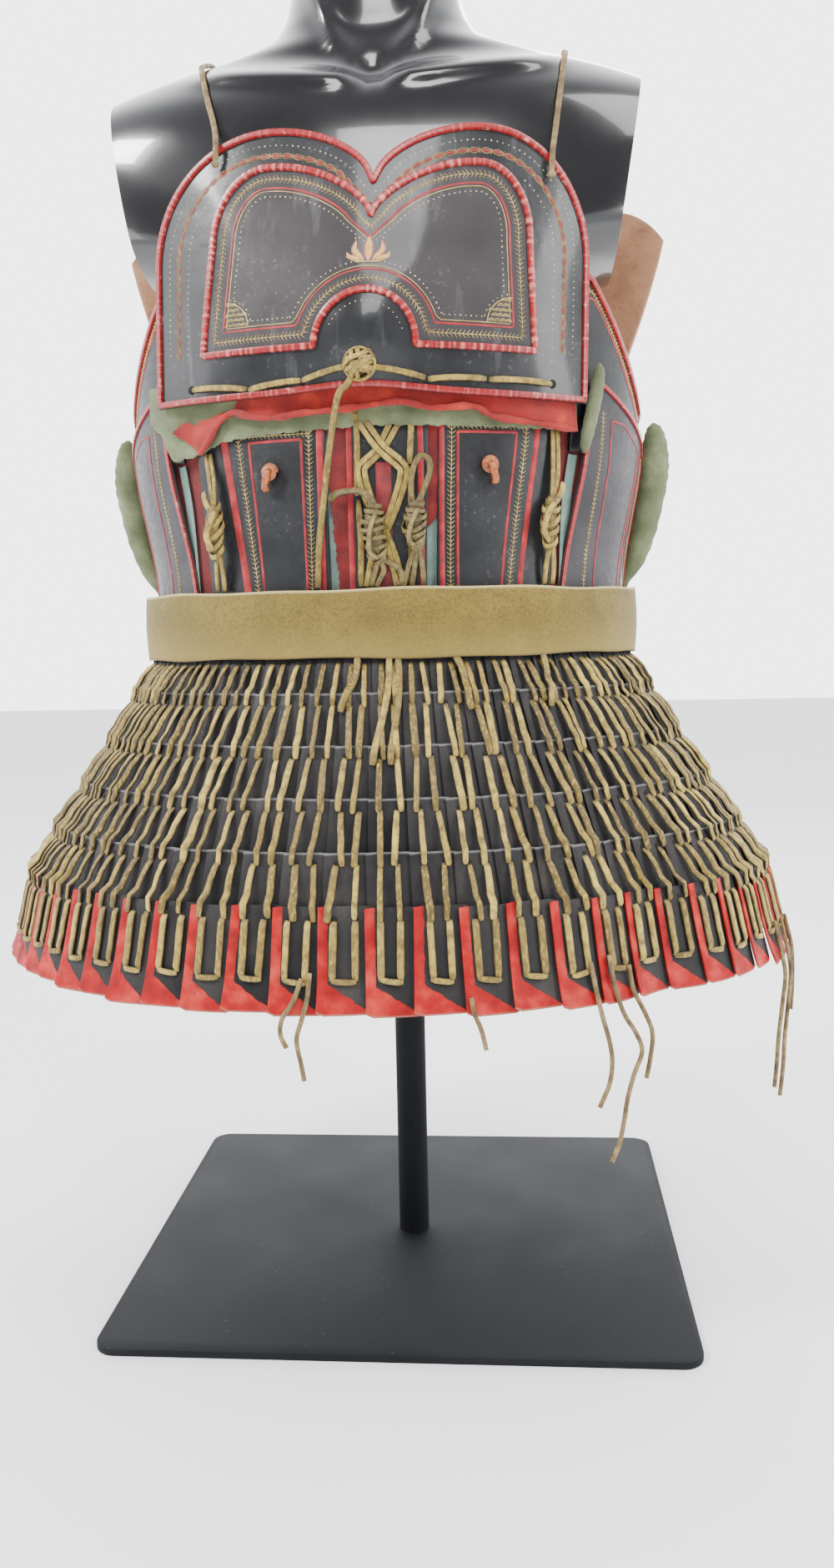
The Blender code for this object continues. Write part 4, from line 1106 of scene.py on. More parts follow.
def make_breast():
    field = panel_outline()
    bm = new_mesh()
    tone = bm.verts.layers.float["tone"]
    made = bmesh.ops.create_grid(bm, x_segments=170, y_segments=84, size=0.5, calc_uvs=True)
    for vert in made["verts"]:
        u, v = vert.co.x + 0.5, vert.co.y + 0.5
        x = BREAST_HALF * sin(pi / 2 * (2 * u - 1))
        z = breast_bottom(x) + (lobe_top(BREAST_LOBE, BREAST_HALF, x) - breast_bottom(x)) * v
        vert[tone] = 1.0 if inside(field, x, z) else 0.0
        vert.co = on_breast(x, z)
    plate = keep("breast_hide", bm, ("breast", "hide"), "breast_plate")
    walled(plate, HIDE, 0.0009, inner=1, rim=0)

    bm = new_mesh()
    outline = inset(breast_outline(), 0.0026)
    rim = track(on_breast, outline, 0.0011, 0.0002, ring=True)
    ribbed(bm, rim, 0.0052, 0.0050, 0.0038, 0.6)
    closed("breast_binding", bm, "ribbed_red", "breast_rim")

    bm = new_mesh()
    rim = track(on_breast, field, 0.0011, 0.0004, ring=True)
    ribbed(bm, rim, 0.0054, 0.0044, 0.0050, 0.9)
    closed("panel_binding", bm, "ribbed_red", "panel_ridge")

    gold, red, dull, faint, ivory = (new_mesh() for _ in range(5))
    herringbone(gold, track(on_breast, inset(field, 0.0088), 0.0033, 0.0001, ring=True), 0.0034, 0.0005)
    painted_line(red, track(on_breast, inset(field, 0.0158), 0.003, 0.0001, ring=True), 0.0016)
    inner = inset(field, 0.0182)
    painted_line(gold, track(on_breast, inner, 0.003, 0.0001, ring=True), 0.0006)
    corners = [on_breast(side * (PANEL_HALF - 0.0182), PANEL_BOTTOM + 0.0182) for side in (-1, 1)]

    def by_net(point):
        return min((point - corner).length for corner in corners) < 0.0215

    dots = track(on_breast, inset(field, 0.0222), 0.0042, 0.0001, ring=True)
    dotted(ivory, dots, 0.00062, by_net)
    for side in (-1, 1):
        scale_net(gold, ivory, side)
    belly = []
    for turn in spread(0.35, pi - 0.35, 12):
        belly.append(((ARCH_HALF - 0.0085) * cos(turn), PANEL_BOTTOM + (ARCH_RISE - 0.0085) * sin(turn)))
    dotted(ivory, track(on_breast, belly, 0.0044, 0.0001), 0.0005)

    outer = breast_outline()

    def around(gap, clear=0.0):
        """The row at this distance from the edge, over the lobes and down both sides."""
        low = BREAST_BOTTOM + 0.022
        inner_x = BREAST_HALF - gap - 0.0015
        row = [p for p in inset(outer, gap) if p[1] > low and (abs(p[0]) > inner_x or p[1] > 0.82)]
        return [p for p in row if not clear or clear_of(field, p, clear)]

    chain(faint, dull, track(on_breast, around(0.0205), 0.00115, 0.0001), 0.0094, 0.0042)
    dotted(ivory, track(on_breast, around(0.0125), 0.0046, 0.0001), 0.00062)
    beside = around(0.0290, 0.0060)
    for part in ([p for p in beside if p[0] > 0], [p for p in beside if p[0] < 0]):
        dotted(ivory, track(on_breast, part, 0.0048, 0.0001), 0.00062)
    make_lotus(gold)
    closed("breast_gold", gold, "gold")
    closed("breast_red_lines", red, "red_line")
    closed("breast_dull_red", dull, "dull_red")
    closed("breast_faint_gold", faint, "faint_gold")
    closed("breast_dots", ivory, "ivory")


def scale_net(gold, ivory, side):
    """A corner filled with small overlapped scales, with a dotted edge."""
    corner_x, corner_z = PANEL_HALF - 0.0188, PANEL_BOTTOM + 0.0188
    radius = 0.0186
    for row in range(5):
        for column in range(5):
            dx = 0.0022 + 0.0044 * column + (0.0022 if row % 2 else 0.0)
            dz = 0.0004 + 0.0038 * row
            if dx * dx + dz * dz > (radius - 0.001) ** 2:
                continue
            for size in (0.0023, 0.0012):
                arc = []
                for turn in spread(0.1, pi - 0.1, 6):
                    arc.append((side * (corner_x - dx + size * cos(turn)), corner_z + dz + size * sin(turn)))
                painted_line(gold, track(on_breast, arc, 0.0008, 0.0001), 0.00055, 0.0006)
    edge = [(side * (corner_x - radius * sin(t)), corner_z + radius * cos(t)) for t in spread(0, pi / 2, 10)]
    painted_line(gold, track(on_breast, edge, 0.0016, 0.0001), 0.0007)
    wide = radius + 0.0026
    edge = [(side * (corner_x - wide * sin(t)), corner_z + wide * cos(t)) for t in spread(0, pi / 2, 10)]
    dotted(ivory, track(on_breast, edge, 0.0042, 0.0001), 0.0006)


def leaf(bm, base, tip, bend, width, lift):
    """One petal, from base to tip, bent to one side."""
    middle = ((base[0] + tip[0]) / 2 + bend, (base[1] + tip[1]) / 2)
    route = smooth_route([(*base, 0), (*middle, 0), (*tip, 0)], 5)
    line = track(on_breast, [(p.x, p.y) for p in route], 0.0012, lift)
    count = len(line) - 1
    swell = [max(0.12, sin(pi * (i / count) ** 0.85) ** 0.8) for i in range(count + 1)]
    strap(bm, line, width, 0.0008, sides=6, square=1.0, swell=swell)


LOTUS_Z = 0.8375
PETALS = (
    (0.0, 0.0, 0.0200, 0.0, 0.0086),
    (0.0035, 0.0100, 0.0160, 0.0036, 0.0058),
    (-0.0035, -0.0100, 0.0160, -0.0036, 0.0058),
    (0.0060, 0.0165, 0.0072, 0.0030, 0.0042),
    (-0.0060, -0.0165, 0.0072, -0.0030, 0.0042),
)


def make_lotus(gold):
    amber, plum = new_mesh(), new_mesh()
    for base, tip, rise, bend, width in PETALS:
        leaf(plum, (base, LOTUS_Z), (tip, LOTUS_Z + rise), bend, width, 0.0001)
        leaf(amber, (base, LOTUS_Z + 0.0012), (tip * 0.97, LOTUS_Z + rise * 0.93), bend, width * 0.62, 0.0004)
    for side in (-1, 1):
        for wide, rise in ((0.0165, 0.0035), (0.0090, 0.0010)):
            foot = [
                (0.0, LOTUS_Z - 0.0005), (side * wide * 0.5, LOTUS_Z - 0.0008),
                (side * wide, LOTUS_Z + rise),
            ]
            painted_line(gold, track(on_breast, foot, 0.0012, 0.0003), 0.0008)
        tip = on_breast(side * 0.0104, LOTUS_Z + 0.0176)
        bead(gold, tip, Vector((0, -1, 0)), 0.0008, 0.0005)
    closed("lotus_outline", plum, "plum")
    closed("lotus_petals", amber, "amber")


# Back plate


def make_back():
    def place(u, v):
        share = 2 * u - 1
        z = BACK_DEPTHS[0].z + (back_top(share) - BACK_DEPTHS[0].z) * v
        return on_back(-share * between(BACK_DEPTHS, z).half_width, z)

    bm = new_mesh()
    patch(bm, 120, 60, place)
    plate = keep("back_hide", bm, ("plate", "hide"), "back_plate")
    walled(plate, HIDE, 0.0009, inner=1, rim=1)

    def outline(gap):
        low = BACK_DEPTHS[0].z + gap

        def edge(u, z):
            return u * (between(BACK_DEPTHS, z).half_width - gap), z

        half = [edge(u, low) for u in spread(0, 1, 16)]
        half += [edge(1, z) for z in spread(low, back_top(1) - gap, 20)[1:]]
        half += [edge(u, back_top(u) - gap) for u in spread(1, 0, 30)[1:]]
        return both_sides(half)

    bm = new_mesh()
    ribbed(
        bm, track(on_back, outline(0.0028), 0.0012, 0.0002, ring=True, flip=True), 0.0054, 0.0048,
        0.0040, 0.4,
    )
    closed("back_binding", bm, "ribbed_red", "back_rim")
    gold, red = new_mesh(), new_mesh()
    herringbone(gold, track(on_back, outline(0.0150), 0.0030, 0.0001, ring=True, flip=True), 0.0028)
    painted_line(red, track(on_back, outline(0.0225), 0.004, 0.0001, ring=True, flip=True), 0.0022)
    closed("back_gold", gold, "gold")
    closed("back_red_lines", red, "red_line")


# Plates round the waist


def curved_plate(name, low, high, bottom, top, finish, node, place=on_waist, across=40, along=30, sign=1):
    """A plate between two angles and two heights; either height may change with the angle."""

    def at(u, v):
        angle = low + (high - low) * (u if sign > 0 else 1 - u)
        z = bottom + (top(angle) - bottom) * v
        return place(angle, z)

    bm = new_mesh()
    patch(bm, across, along, at)
    made = keep(name, bm, (finish, "hide"), node)
    return walled(made, HIDE, 0.0007, inner=1)


WAIST_STEPS = (0.15, 0.0005)


def waist_track(path, pitch, out=0.0001, place=on_waist):
    return track(place, path, pitch, out, WAIST_STEPS)


def make_front_plates():
    low_z, high_z = 0.556, 0.740
    gold, red = new_mesh(), new_mesh()
    for side, (low, high) in FRONT_ANGLES.items():
        curved_plate(
            f"front_hide_{side}", low, high, WAIST_LOW, lambda a: WAIST_HIGH, "plate",
            f"front_plate_{side}",
        )

    def stretched(top, bottom):
        """A straight line through two places, drawn on above and below them."""
        (a, b), (c, d) = top, bottom
        lean = (c - a) / (d - b)
        return [(a + lean * (z - b), z) for z in spread(high_z, low_z, 12)]

    for top, bottom, width in (
        ((-32.6, 0.7130), (-29.5, 0.5950), 0.0064),
        ((-10.1, 0.7170), (-10.7, 0.5960), 0.0052),
        ((15.0, 0.7176), (15.6, 0.5965), 0.0040),
        ((36.8, 0.7166), (34.1, 0.5960), 0.0046),
    ):
        painted_line(red, waist_track(stretched(top, bottom), 0.004), width, 0.0012)
    for top, bottom in (
        ((-28.9, 0.7122), (-26.6, 0.5956)),
        ((-12.4, 0.7123), (-13.2, 0.5973)),
        ((17.1, 0.7176), (17.4, 0.5965)),
        ((33.9, 0.7119), (31.4, 0.5970)),
    ):
        herringbone(gold, waist_track(stretched(top, bottom)[::-1], 0.0034), 0.0034, 0.00055)
    for corners, z in (
        (((-26.2, 0.7104), (-25.0, 0.5954), (-14.1, 0.7131), (-14.3, 0.5964)), 0.7118),
        (((18.4, 0.7149), (19.1, 0.5969), (31.6, 0.7139), (29.4, 0.5965)), 0.7145),
    ):
        first, foot, second, far = corners
        for top, bottom in ((first, foot), (second, far)):
            line = [p for p in stretched(top, bottom) if p[1] < z - 0.004]
            painted_line(red, waist_track([(top[0], z)] + line, 0.004), 0.0022, 0.0009)
        painted_line(red, waist_track([(first[0], z), (second[0], z)], 0.004), 0.0022, 0.0009)
        above = [(first[0] - 2, z + 0.0044), (second[0] + 2, z + 0.0044)]
        herringbone(gold, waist_track(above, 0.0034), 0.0028, 0.00055)
    closed("front_plate_gold", gold, "gold")
    closed("front_plate_red_lines", red, "red_line")


LATTICE = (
    (
        (-1.9, 0.722), (1.8, 0.702), (5.6, 0.689), (6.6, 0.683), (5.2, 0.664), (3.3, 0.646),
        (0.9, 0.628), (-1.1, 0.598),
    ),
    (
        (-0.2, 0.722), (3.3, 0.7035), (6.8, 0.692), (7.9, 0.684), (6.5, 0.664), (4.5, 0.646),
        (2.3, 0.629), (0.5, 0.598),
    ),
    (
        (6.4, 0.722), (3.2, 0.702), (0.2, 0.691), (-0.8, 0.685), (0.5, 0.665), (2.7, 0.646),
        (5.0, 0.626), (7.0, 0.598),
    ),
    (
        (4.6, 0.722), (1.9, 0.703), (-1.1, 0.693), (-2.2, 0.686), (-0.8, 0.665), (1.5, 0.647),
        (3.8, 0.626), (5.6, 0.598),
    ),
)


def make_placket():
    low, high = PLACKET_ANGLES
    curved_plate("placket_hide", low, high, WAIST_LOW, lambda a: WAIST_HIGH, "plate", "placket", across=24)
    red, dull, thong = new_mesh(), new_mesh(), new_mesh()
    for path in (
        ((-3.9, 0.745), (-4.0, 0.650), (-4.1, 0.556)),
        ((10.4, 0.745), (10.9, 0.650), (11.3, 0.556)),
    ):
        painted_line(red, waist_track(path, 0.004), 0.0046, 0.0012)
    painted_line(dull, waist_track(((3.0, 0.692), (3.1, 0.640), (3.2, 0.560)), 0.004), 0.0120, 0.0006)
    for number, path in enumerate(LATTICE):
        route = smooth_route([(*p, 0) for p in path], 5)
        line = waist_track([(p.x, p.y) for p in route], 0.0032)
        lifts = []
        for here in line:
            over = here.point.z > 0.684 if number < 2 else here.point.z < 0.684
            lifts.append(0.0038 if over else 0.0016)
        for _ in range(3):
            lifts = [(a + 2 * b + c) / 4 for a, b, c in zip(lifts[:1] + lifts, lifts, lifts[1:] + lifts[-1:])]
        points = [s.point + s.out * (lift + vary(0.0002)) for s, lift in zip(line, lifts)]
        straps = stations(points, [s.out for s in line])
        swell = [1 + vary(0.07) for _ in straps]
        strap(thong, straps, 0.0048, 0.0022, chance.uniform(0.55, 0.95), swell=swell)
    for angle, top, foot in (
        (-2.5, 0.745, 0.667), (8.4, 0.745, 0.690), (-2.2, 0.664, 0.598), (8.6, 0.684, 0.598),
    ):
        line = waist_track(((angle, top), (angle + 0.3, (top + foot) / 2), (angle, foot)), 0.004, 0.0016)
        strap(thong, line, 0.0052, 0.0024, chance.uniform(0.35, 0.7), swell=rounded_ends(len(line), 0.6))
    closed("placket_red", red, "red_line")
    closed("placket_dull_red", dull, "dull_red")
    closed("placket_lacing", thong, "thong")


def make_side_plates():
    gold, red, bound = new_mesh(), new_mesh(), new_mesh()
    for side, sign in (("left", -1), ("right", 1)):
        place = on_side(sign)
        curved_plate(
            f"side_hide_{side}", SIDE_ANGLE_LOW, SIDE_ANGLE_HIGH, WAIST_LOW, side_top, "side",
            f"side_plate_{side}", place, sign=sign,
        )
        low, high = SIDE_ANGLE_LOW + 0.7, SIDE_ANGLE_HIGH - 0.7
        edge = [(low, z) for z in spread(0.556, side_top(low) - 0.003, 14)]
        edge += [(a, side_top(a) - 0.003) for a in spread(SIDE_APEX, high, 14)]
        edge += [(high, z) for z in spread(side_top(high) - 0.006, 0.556, 10)]
        line = track(place, edge, 0.0012, 0.0002, WAIST_STEPS, flip=sign < 0)
        ribbed(bound, line, 0.0042, 0.0032, 0.0060, 0.4)

        def lined(mesh, path, width, stroke, place=place, sign=sign):
            line = track(place, path, 0.0034, 0.0001, WAIST_STEPS, flip=sign < 0)
            if stroke:
                herringbone(mesh, line, width, 0.00055)
            else:
                painted_line(mesh, line, width, 0.0009)

        lined(gold, [(59.5, 0.560), (58.2, 0.640), (56.6, 0.735)], 0.0030, True)
        lined(red, [(63.4, 0.560), (61.8, 0.640), (60.2, 0.728)], 0.0018, False)
        lined(red, [(60.2, 0.728), (66.0, 0.7265), (77.8, 0.7085)], 0.0018, False)
        lined(red, [(77.8, 0.7085), (76.6, 0.640), (75.6, 0.560)], 0.0018, False)
        lined(red, [(80.3, 0.7080), (79.2, 0.640), (78.2, 0.560)], 0.0018, False)
        lined(gold, [(85.6, 0.560), (85.2, 0.640), (84.8, 0.705)], 0.0026, True)
    closed("side_plate_gold", gold, "gold")
    closed("side_plate_red_lines", red, "red_line")
    closed("side_plate_binding", bound, "ribbed_red")


def make_back_waist():
    gold, red = new_mesh(), new_mesh()
    for side, (low, high) in BACK_ANGLES.items():
        curved_plate(
            f"back_waist_hide_{side}", low, high, WAIST_LOW, lambda a: BACK_WAIST_HIGH, "plate",
            f"back_waist_{side}",
        )
        frame_low, frame_high = low + 4, high - 4
        corners = [(frame_low, 0.556), (frame_low, 0.738), (frame_high, 0.738), (frame_high, 0.556)]
        path = []
        for (a, b), (c, d) in zip(corners, corners[1:]):
            path += [(a + (c - a) * t, b + (d - b) * t) for t in spread(0, 1, 8)[:-1]]
        path.append(corners[-1])
        painted_line(red, waist_track(path, 0.004), 0.0036, 0.0010)
        narrow = [(a + (2.4 if a < (low + high) / 2 else -2.4), min(b, 0.7295)) for a, b in path]
        herringbone(gold, waist_track(narrow, 0.0032), 0.0030)
    closed("back_waist_gold", gold, "gold")
    closed("back_waist_red_lines", red, "red_line")


def make_underarm():
    gold, red = new_mesh(), new_mesh()
    for side, sign in (("left", -1), ("right", 1)):
        low, high = UNDERARM_ANGLES["front"], UNDERARM_ANGLES["back"]

        def place(angle, z, out=0.0, sign=sign):
            return on_waist(sign * angle, z, out)

        curved_plate(
            f"underarm_hide_{side}", low, high, UNDERARM_LOW, underarm_top, "plate",
            f"underarm_plate_{side}", place, sign=sign,
        )
        bm = new_mesh()
        edge = [(a, underarm_top(a) - 0.0026) for a in spread(low + 0.4, high - 0.4, 40)]
        line = track(place, edge, 0.0012, 0.0003, WAIST_STEPS, flip=sign < 0)
        ribbed(bm, line, 0.0058, 0.0048, 0.0050, 0.4)
        closed(f"underarm_binding_{side}", bm, "ribbed_red", f"underarm_rim_{side}")
        for gap, mesh, stroke in ((0.0120, gold, True), (0.0180, red, False)):
            path = [(a, underarm_top(a) - gap) for a in spread(low + 1.5, high - 3, 24)]
            line = track(place, path, 0.0030, 0.0001, WAIST_STEPS, flip=sign < 0)
            if stroke:
                herringbone(mesh, line, 0.0028)
            else:
                painted_line(mesh, line, 0.0020)
    closed("underarm_gold", gold, "gold")
    closed("underarm_red_lines", red, "red_line")


# Cloth

GREEN_EDGE = (
    (-56.0, 0.7360), (-51.0, 0.7250), (-49.4, 0.7145), (-47.1, 0.7022), (-43.0, 0.7040), (-38.1, 0.7072),
    (-32.9, 0.7135), (-27.7, 0.7152), (-13.2, 0.7181), (3.0, 0.7198), (20.0, 0.7182), (47.0, 0.7175),
)
RED_EDGE = (
    (-45.3, 0.7256), (-42.2, 0.7175), (-39.4, 0.7100), (-38.2, 0.7045), (-35.4, 0.7131), (-33.2, 0.7225),
    (-30.8, 0.7306), (-28.2, 0.7337), (-23.4, 0.7283), (-17.8, 0.7269), (-13.2, 0.7290), (-4.3, 0.7303),
    (6.3, 0.7347), (12.6, 0.7296), (21.4, 0.7308), (25.1, 0.7237), (31.2, 0.7206), (39.0, 0.7179),
    (46.0, 0.7160),
)
RED_TOP = (
    (-45.3, 0.7262), (-42.2, 0.7329), (-39.4, 0.7291), (-37.6, 0.7330), (-35.9, 0.7322), (-32.7, 0.7357),
    (-28.9, 0.7377), (-26.5, 0.7500), (-24.0, 0.7660), (46.0, 0.7660),
)
MeasuredCloth = namedtuple("MeasuredCloth", "width length")


def cloth_size(place, columns=40):
    """How wide and long a piece of cloth is, measured along its middle row and its columns."""
    middle = [place(u, 0.5) for u in spread(0, 1, columns)]
    width = sum((b - a).length for a, b in zip(middle, middle[1:]))
    tall = 0.0
    for u in spread(0, 1, columns):
        column = [place(u, v) for v in spread(0, 1, 8)]
        tall += sum((b - a).length for a, b in zip(column, column[1:])) / (columns + 1)
    return MeasuredCloth(round(width, 3), round(tall, 3))


def cloth(name, finish, place, across, along, node=None, thick=0.0016):
    bm = new_mesh()
    patch(bm, across, along, place)
    made = keep(name, bm, finish, node or (), smooth=70)
    walled(made, thick, 0.0004)
    size = cloth_size(place)
    print("cloth", name, size.width, size.length)
    return made


def make_bands():
    def green(u, v):
        angle = -56.0 + 103.0 * u
        low = read(GREEN_EDGE, angle) + 0.0006 * sin(angle * 1.7) + 0.0004 * sin(angle * 5.3)
        z = low + (0.764 - low) * v
        lift = TOUCH + (HIDE + 2 * FACET) * eased(40, 47, -angle) + WOOL
        ripple = 0.0012 * sin(radians(angle * 9)) * (1 - v) ** 2 + 0.0008 * (1 - v) ** 6
        return on_waist(angle, z, lift + ripple)

    cloth(
        "green_wool_band", "sage", green, 150, 14, "green_band",
    )

    def red(u, v):
        angle = -45.3 + 91.3 * u
        low, top = read(RED_EDGE, angle), read(RED_TOP, angle)
        low += 0.0005 * sin(angle * 2.9) + 0.0004 * sin(angle * 7.1)
        z = low + (top - low) * v
        lift = WOOL + 2 * TOUCH + WOOL + (HIDE + 2 * FACET) * eased(40, 47, -angle)
        fold = 0.0022 * (1 - v) ** 2 + 0.0014 * sin(radians(angle * 11 + 200 * v)) * (1 - v)
        return on_waist(angle, z, lift + max(0.0, fold))

    cloth("red_wool_band", "scarlet", red, 170, 14, "red_band")
    bm = new_mesh()
    path = [(a, z + 0.0008) for a, z in RED_EDGE if a > -38.6]
    route = smooth_route([(*p, 0) for p in path], 6)
    line = waist_track([(p.x, p.y) for p in route], 0.0022, 0.0086)
    count = len(line)
    swell = []
    for i in range(count):
        share = 0.75 + 0.18 * sin(i * 0.33) + 0.12 * sin(i * 0.81 + 1.0) + vary(0.05)
        swell.append(share * (0.55 + 0.45 * min(1.0, i / 4, (count - 1 - i) / 3)))
    strap(bm, line, 0.0062, 0.0048, 0.8, sides=10, swell=swell, square=0.9)
    closed("red_wool_hem", bm, "scarlet")


def make_strips():
    """Cloth that shows in the gaps between the plates."""
    gaps = (
        ("left", -10.0, -3.6, ((0.545, 0.62), (0.600, 0.60), (0.640, 0.42), (0.680, 0.30), (0.760, 0.26))),
        ("right", 11.2, 15.4, ((0.545, 0.10), (0.640, 0.12), (0.652, 0.90), (0.700, 1.0), (0.760, 1.0))),
    )
    for side, low, high, share_table in gaps:

        def backing(u, v, low=low, high=high):
            z = STRIP_LOW + (STRIP_HIGH - STRIP_LOW) * v
            return on_waist(low + (high - low) * u, z, -HIDE - TOUCH)

        cloth(
            f"blue_strip_{side}", "blue", backing, 12, 60,
            f"red_strip_{side}",
        )

        def facing_wool(u, v, low=low, high=high, table=share_table, side=side):
            z = STRIP_LOW + (STRIP_HIGH - STRIP_LOW) * v
            ragged = 0.04 * sin(z * 900) + 0.03 * sin(z * 2300 + 1)
            share = min(1.0, max(0.04, read(table, z) + ragged))
            if side == "left":
                share = min(1.0, 1.0 - share * 0.75)
                angle = high - (high - low) * share * (1 - u)
            else:
                angle = low + (high - low) * share * u
            return on_waist(angle, z, -HIDE + 0.0014 + 0.0004 * sin(z * 300))

        cloth(
            f"red_wool_strip_{side}", "deep_scarlet", facing_wool, 8, 90,
            None, 0.0012,
        )
    for side, sign in (("left", -1), ("right", 1)):

        def lining(u, v, sign=sign):
            z = STRIP_LOW + (0.755 - STRIP_LOW) * v
            angle = 41.5 + 11.5 * (u if sign > 0 else 1 - u)
            return on_waist(sign * angle, z, -HIDE - 0.0016)

        cloth(
            f"side_lining_{side}", "deep_scarlet", lining, 14, 60,
            f"side_strip_{side}",
        )

        def edging(u, v, sign=sign):
            z = STRIP_LOW + (0.700 - STRIP_LOW) * v
            middle = 46.4 - 0.6 * (0.7 - z) / 0.1 + 0.5 * sin(z * 45)
            share = u if sign > 0 else 1 - u
            angle = middle - 0.3 + 3.6 * share
            return on_waist(sign * angle, z, -HIDE + 0.0014 - 0.0018 * eased(0.25, 0.5, share))

        cloth(
            f"pale_edging_{side}", "blue", edging, 8, 60, None,
            0.0008,
        )


Roll = namedtuple("Roll", "z angle out radius")

LONG_ROLL = (
    Roll(0.565, 93.2, 0.0020, 0.0040), Roll(0.598, 93.2, 0.0035, 0.0045), Roll(0.622, 93.2, 0.0130, 0.0090),
    Roll(0.650, 93.2, 0.0180, 0.0120), Roll(0.685, 93.2, 0.0205, 0.0130), Roll(0.705, 93.2, 0.0205, 0.0125),
    Roll(0.725, 93.2, 0.0195, 0.0095), Roll(0.738, 93.2, 0.0180, 0.0045),
)
SHORT_ROLL = (
    Roll(0.700, 47.9, 0.0113, 0.0035), Roll(0.714, 48.4, 0.0124, 0.0050), Roll(0.735, 49.9, 0.0129, 0.0055),
    Roll(0.755, 51.4, 0.0129, 0.0055), Roll(0.770, 52.3, 0.0125, 0.0038),
)


def make_rolls():
    """Padded edges of green wool, gathered a little along their seam."""
    for name, table, sign, node in (
        ("green_pad_left", LONG_ROLL, -1, "green_roll_left"),
        ("green_pad_right", LONG_ROLL, 1, "green_roll_right"),
        ("small_green_pad", SHORT_ROLL, 1, "small_roll_right"),
    ):
        rows = smooth_route([Vector((r.z, r.angle, r.out, r.radius)) for r in table], 7)
        points, outs, swell = [], [], []
        widest = max(row[3] for row in rows)
        for i, (z, angle, out, radius) in enumerate(rows):
            section = between(WAIST_SECTIONS, z)
            point = round_body(section, sign * angle, out)
            points.append(Vector((point.x, point.y, z)))
            outs.append(Vector((point.x, point.y, 0)).normalized())
            pucker = 1 + 0.035 * sin(i * 1.9) + vary(0.015)
            end = min(1.0, 0.35 + 0.33 * min(i, len(rows) - 1 - i))
            swell.append(radius / widest * pucker * end)
        bm = new_mesh()
        strap(bm, stations(points, outs), 2 * widest, 2 * widest, 0.5, sides=24, swell=swell, square=1.0)
        made = closed(name, bm, "sage", node, smooth=80)


# Belt


def make_belt():
    def place(u, v):
        angle = 360 * u
        edge = 0.0007 * sin(radians(angle * 5)) + 0.0005 * sin(radians(angle * 13))
        z = BELT_LOW + 0.0006 + (BELT_HIGH - BELT_LOW - 0.0012) * v + edge * (2 * v - 1)
        swell = 0.0010 * sin(pi * v) - 0.0008 + 0.0006 * sin(radians(angle * 9)) * sin(pi * v)
        half, depth = BELT_HALF_WIDTH + swell, BELT_DEPTH + swell
        return Vector((half * sin(radians(angle)), -depth * cos(radians(angle)), z))

    bm = new_mesh()
    patch(bm, 260, 12, place)
    bmesh.ops.remove_doubles(bm, verts=bm.verts, dist=1e-6)
    made = keep("suede_belt", bm, "suede", "belt", smooth=70)
    walled(made, 0.0034, 0.0007)
    size = cloth_size(place, 120)
    print("belt", size.width, size.length)


# Skirt

Row = namedtuple("Row", "top bottom")


def along_row(row, z):
    part = (row.top.z - z) / (row.top.z - row.bottom.z)
    return Section(*(a + (b - a) * part for a, b in zip(row.top, row.bottom)))


def skirt_rows():
    """Each row's inner face as its top and bottom section; each row hangs inside the one below it."""
    rows = [Row(SKIRT_SECTIONS[-2], SKIRT_SECTIONS[-1])]
    room = LAMELLA_THICK + TOUCH
    for top in reversed(SKIRT_SECTIONS[:-2]):
        below = rows[0]
        foot = top.z - ROW_TALL
        covered = along_row(below, foot)
        sizes = []
        for own, edge, end in zip(top[1:], below.top[1:], covered[1:]):
            by_edge = own + (edge - room - own) * (top.z - foot) / (top.z - below.top.z)
            sizes.append(min(by_edge, end - room))
        rows.insert(0, Row(top, Section(foot, *sizes)))
    return rows


ROWS = skirt_rows()


def pleat(angle, z):
    fall = (SKIRT_SECTIONS[0].z - z) / (SKIRT_SECTIONS[0].z - SKIRT_SECTIONS[-1].z)
    turn = (angle + 180) % 360 - 180
    return -PLEAT_DEPTH * fall * exp(-(((turn - PLEAT_ANGLE) / PLEAT_SPREAD) ** 2))


def on_row(number, angle, z, out=0.0):
    """A place on the outer faces of a row's lamellae, stepped from each one to the next."""
    wide = (angle % LAP_ANGLE) / LAP_ANGLE
    face = LAMELLA_THICK - (LAMELLA_THICK - LAMELLA_THIN) * wide
    point = round_body(along_row(ROWS[number], z), angle, pleat(angle, z) + face + out)
    point.z = z
    return point


def away_from_body(angle, number):
    section = ROWS[number].top
    turn = radians(angle)
    return Vector((sin(turn) / section.half_width, -cos(turn) / section.front, 0)).normalized()


